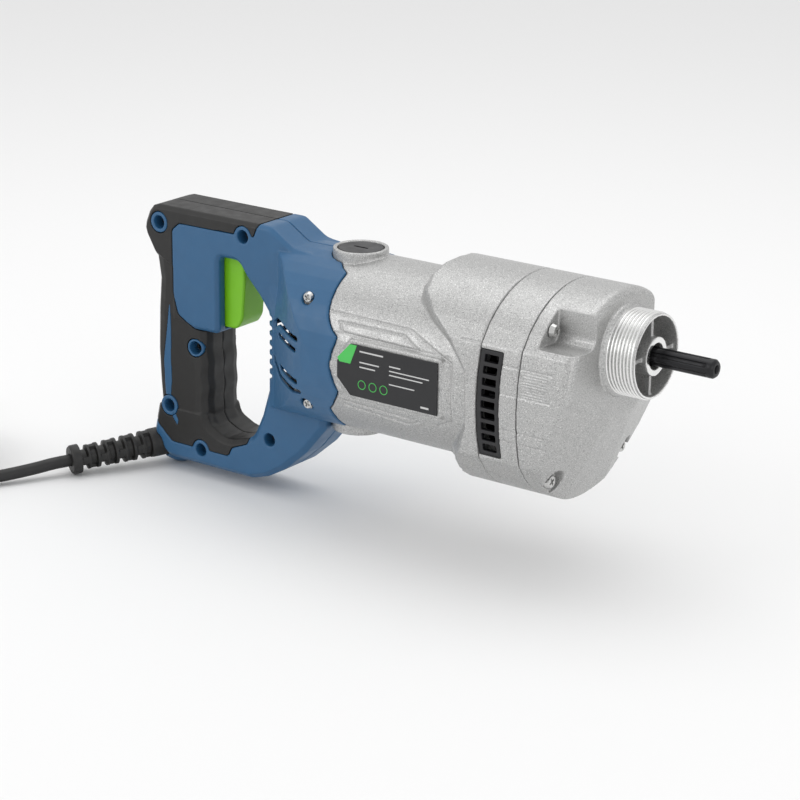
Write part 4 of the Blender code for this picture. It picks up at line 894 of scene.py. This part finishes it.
# Each small moulding: its node, body, material, slot and voxel size in millimetres
SMALL_MOULDINGS = (
    ("trigger", "trigger", GREEN, "green_plastic", 0.35),
    ("brush_cap_top", "tool_body", BLACK, "black_plastic", 0.22),
    ("brush_cap_bottom", "tool_body", BLACK, "black_plastic", 0.22),
    ("vent_grille_left", "tool_body", BLACK, "black_plastic", 0.3),
    ("vent_grille_right", "tool_body", BLACK, "black_plastic", 0.3),
)


def build_small_mouldings():
    for node_name, body, material, slot, voxel in SMALL_MOULDINGS:
        piece = copy_of(f"{node_name}_moulding", node_name)
        moulded(piece, voxel, rounds=2)
        finished(piece, material, slot, node_name, keep=0.5, body=body)


RECESS_DEPTH = 1.5
RECESS_WIDTH = 0.5
RECESS_TURN = math.radians(25)


def recess_cutters(name):
    """Two crossed bars that press the cross recess into a screw's head. Cover screws lie along X, the others
    along Y."""
    low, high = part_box(name)
    middle = (low + high) / 2
    deep, wide = 2 * RECESS_DEPTH * MM, 2 * RECESS_WIDTH * MM
    cutters = []
    for flat_way in (0, 1):
        if name.startswith("cover"):
            long = 4.4 * MM
            centre = Vector((high.x, middle.y, middle.z))
            size = (deep, long, wide) if flat_way else (deep, wide, long)
            turn = Matrix.Rotation(RECESS_TURN, 4, "X")
        else:
            long = 3.6 * MM
            centre = Vector((middle.x, low.y, middle.z))
            size = (long, deep, wide) if flat_way else (wide, deep, long)
            turn = Matrix.Rotation(RECESS_TURN, 4, "Y")
        shape = bmesh.new()
        bmesh.ops.create_cube(shape, size=1.0, matrix=Matrix.Translation(centre) @ turn
                              @ Matrix.Diagonal((*size, 1.0)))
        cutters.append(new_piece("recess", shape, None))
    return cutters


def sunk(screw, depth):
    """Draws a screw's head in towards its tip, which stays where it is."""
    places, _ = points_of(screw)
    tip, head = places[:, 1].max(), places[:, 1].min()
    places[:, 1] = tip - (tip - places[:, 1]) * (1 - depth / (tip - head))
    move_points(screw, places)


def build_screws():
    """Pan heads with a cross recess, cut into the CAD screws, which are then rounded."""
    for name in frame["nodes"]:
        if "_screw_" not in name:
            continue
        screw = copy_of(f"{name}_turned", name)
        boolean(screw, "DIFFERENCE", recess_cutters(name))
        moulded(screw, 0.2, rounds=2)
        if name in HANDLE_SCREWS:
            sunk(screw, SCREW_SINK)
        finished(screw, DARK_STEEL if name in HANDLE_SCREWS else STEEL, "steel", name, keep=0.4)


# Each spring: the joint that shortens it, the axis it lies along, which end stays put (-1 the low one),
# and the joint's travel in millimetres
SPRINGS = (
    ("trigger_spring", "trigger_slide", Vector((1, 0, 0)), -1, 5.0),
    ("brush_spring_top", "brush_slide_top", Vector((0, 0, 1)), 1, 2.0),
    ("brush_spring_bottom", "brush_slide_bottom", Vector((0, 0, 1)), -1, 2.0),
)


def build_springs():
    """Steel copies of the springs, each with a mesh of its own."""
    for name, joint, axis, fixed_side, travel in SPRINGS:
        spring = copy_of(f"{name}_wire", name)
        paint(spring, STEEL)
        soften(spring, 50)
        stand_for(spring, "tool_body", NODE_SLOT[name], name)
        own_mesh(spring)


# The rating plate's print, as (x, z) on the plate
LABEL_TAB = ((20.6, 5.2), (28.8, 13.8), (33.2, 13.8), (29.0, 3.2), (22.0, 3.2))
LABEL_RULES = (
    ((35.0, 10.6), (50.0, 11.4)), ((35.0, 4.8), (47.5, 5.5)), ((35.0, 2.2), (45.0, 2.9)),
    ((54.0, 6.2), (61.0, 6.9)), ((54.0, 3.8), (79.0, 4.4)), ((54.0, 1.6), (75.0, 2.2)),
    ((54.0, -3.4), (70.0, -2.8)), ((74.0, -11.8), (79.0, -10.8)),
)
LABEL_RINGS = ((36.5, -7.0), (43.5, -7.0), (50.5, -7.0))
RING_RADII = (2.15, 2.5)
RING_SIDES = 32
PRINT_PROUD = 0.12
PRINT_THICKNESS = 0.2


def printed_ring(shape, x, z, front, back):
    """Adds a flat ring of print to the bmesh."""
    inner, outer = RING_RADII
    rows = []
    for y, radius in ((back, inner), (front, inner), (front, outer), (back, outer)):
        rows.append([shape.verts.new(at(x + radius * math.cos(turn), y, z + radius * math.sin(turn)))
                     for turn in np.linspace(0, 2 * math.pi, RING_SIDES, endpoint=False)])
    for first, second in zip(rows, rows[1:] + rows[:1]):
        for i in range(RING_SIDES):
            after = (i + 1) % RING_SIDES
            shape.faces.new((first[i], first[after], second[after], second[i]))


def build_label():
    """A generic rating plate: dark film with a green tab, rules and plain rings, with no lettering."""
    low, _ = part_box("label_plate")
    front = low.y / MM - PRINT_PROUD
    back = front + PRINT_THICKNESS
    ink = finish("label_ink", (0.62, 0.62, 0.62), 0.4)
    green_ink = finish("label_green", (0.07, 0.55, 0.10), 0.4)
    tab = prism(LABEL_TAB, front, back)
    tab.name = "label_tab"
    paint(tab, green_ink)
    add_on(tab, "tool_body")
    shape = bmesh.new()
    for (x1, z1), (x2, z2) in LABEL_RULES:
        bar = prism([(x1, z1), (x2, z1), (x2, z2), (x1, z2)], front, back)
        shape.from_mesh(bar.data)
        bpy.data.objects.remove(bar, do_unlink=True)
    add_on(new_piece("label_rules", shape, ink), "tool_body")
    shape = bmesh.new()
    for x, z in LABEL_RINGS:
        printed_ring(shape, x, z, front, back)
    bmesh.ops.recalc_face_normals(shape, faces=shape.faces)
    add_on(new_piece("label_rings", shape, green_ink), "tool_body")


# ---------------------------------------------------------------- all the pieces

build_motor_housing()
build_gear_housing()
build_front_cover()
build_nose_thread()
build_output_shaft()
build_handle()
build_small_mouldings()
build_screws()
build_springs()
build_label()


# ---------------------------------------------------------------- CAD nodes

for name, item in frame["nodes"].items():
    paint(item, SLOT_FINISH[NODE_SLOT[name]])
    soften(item)
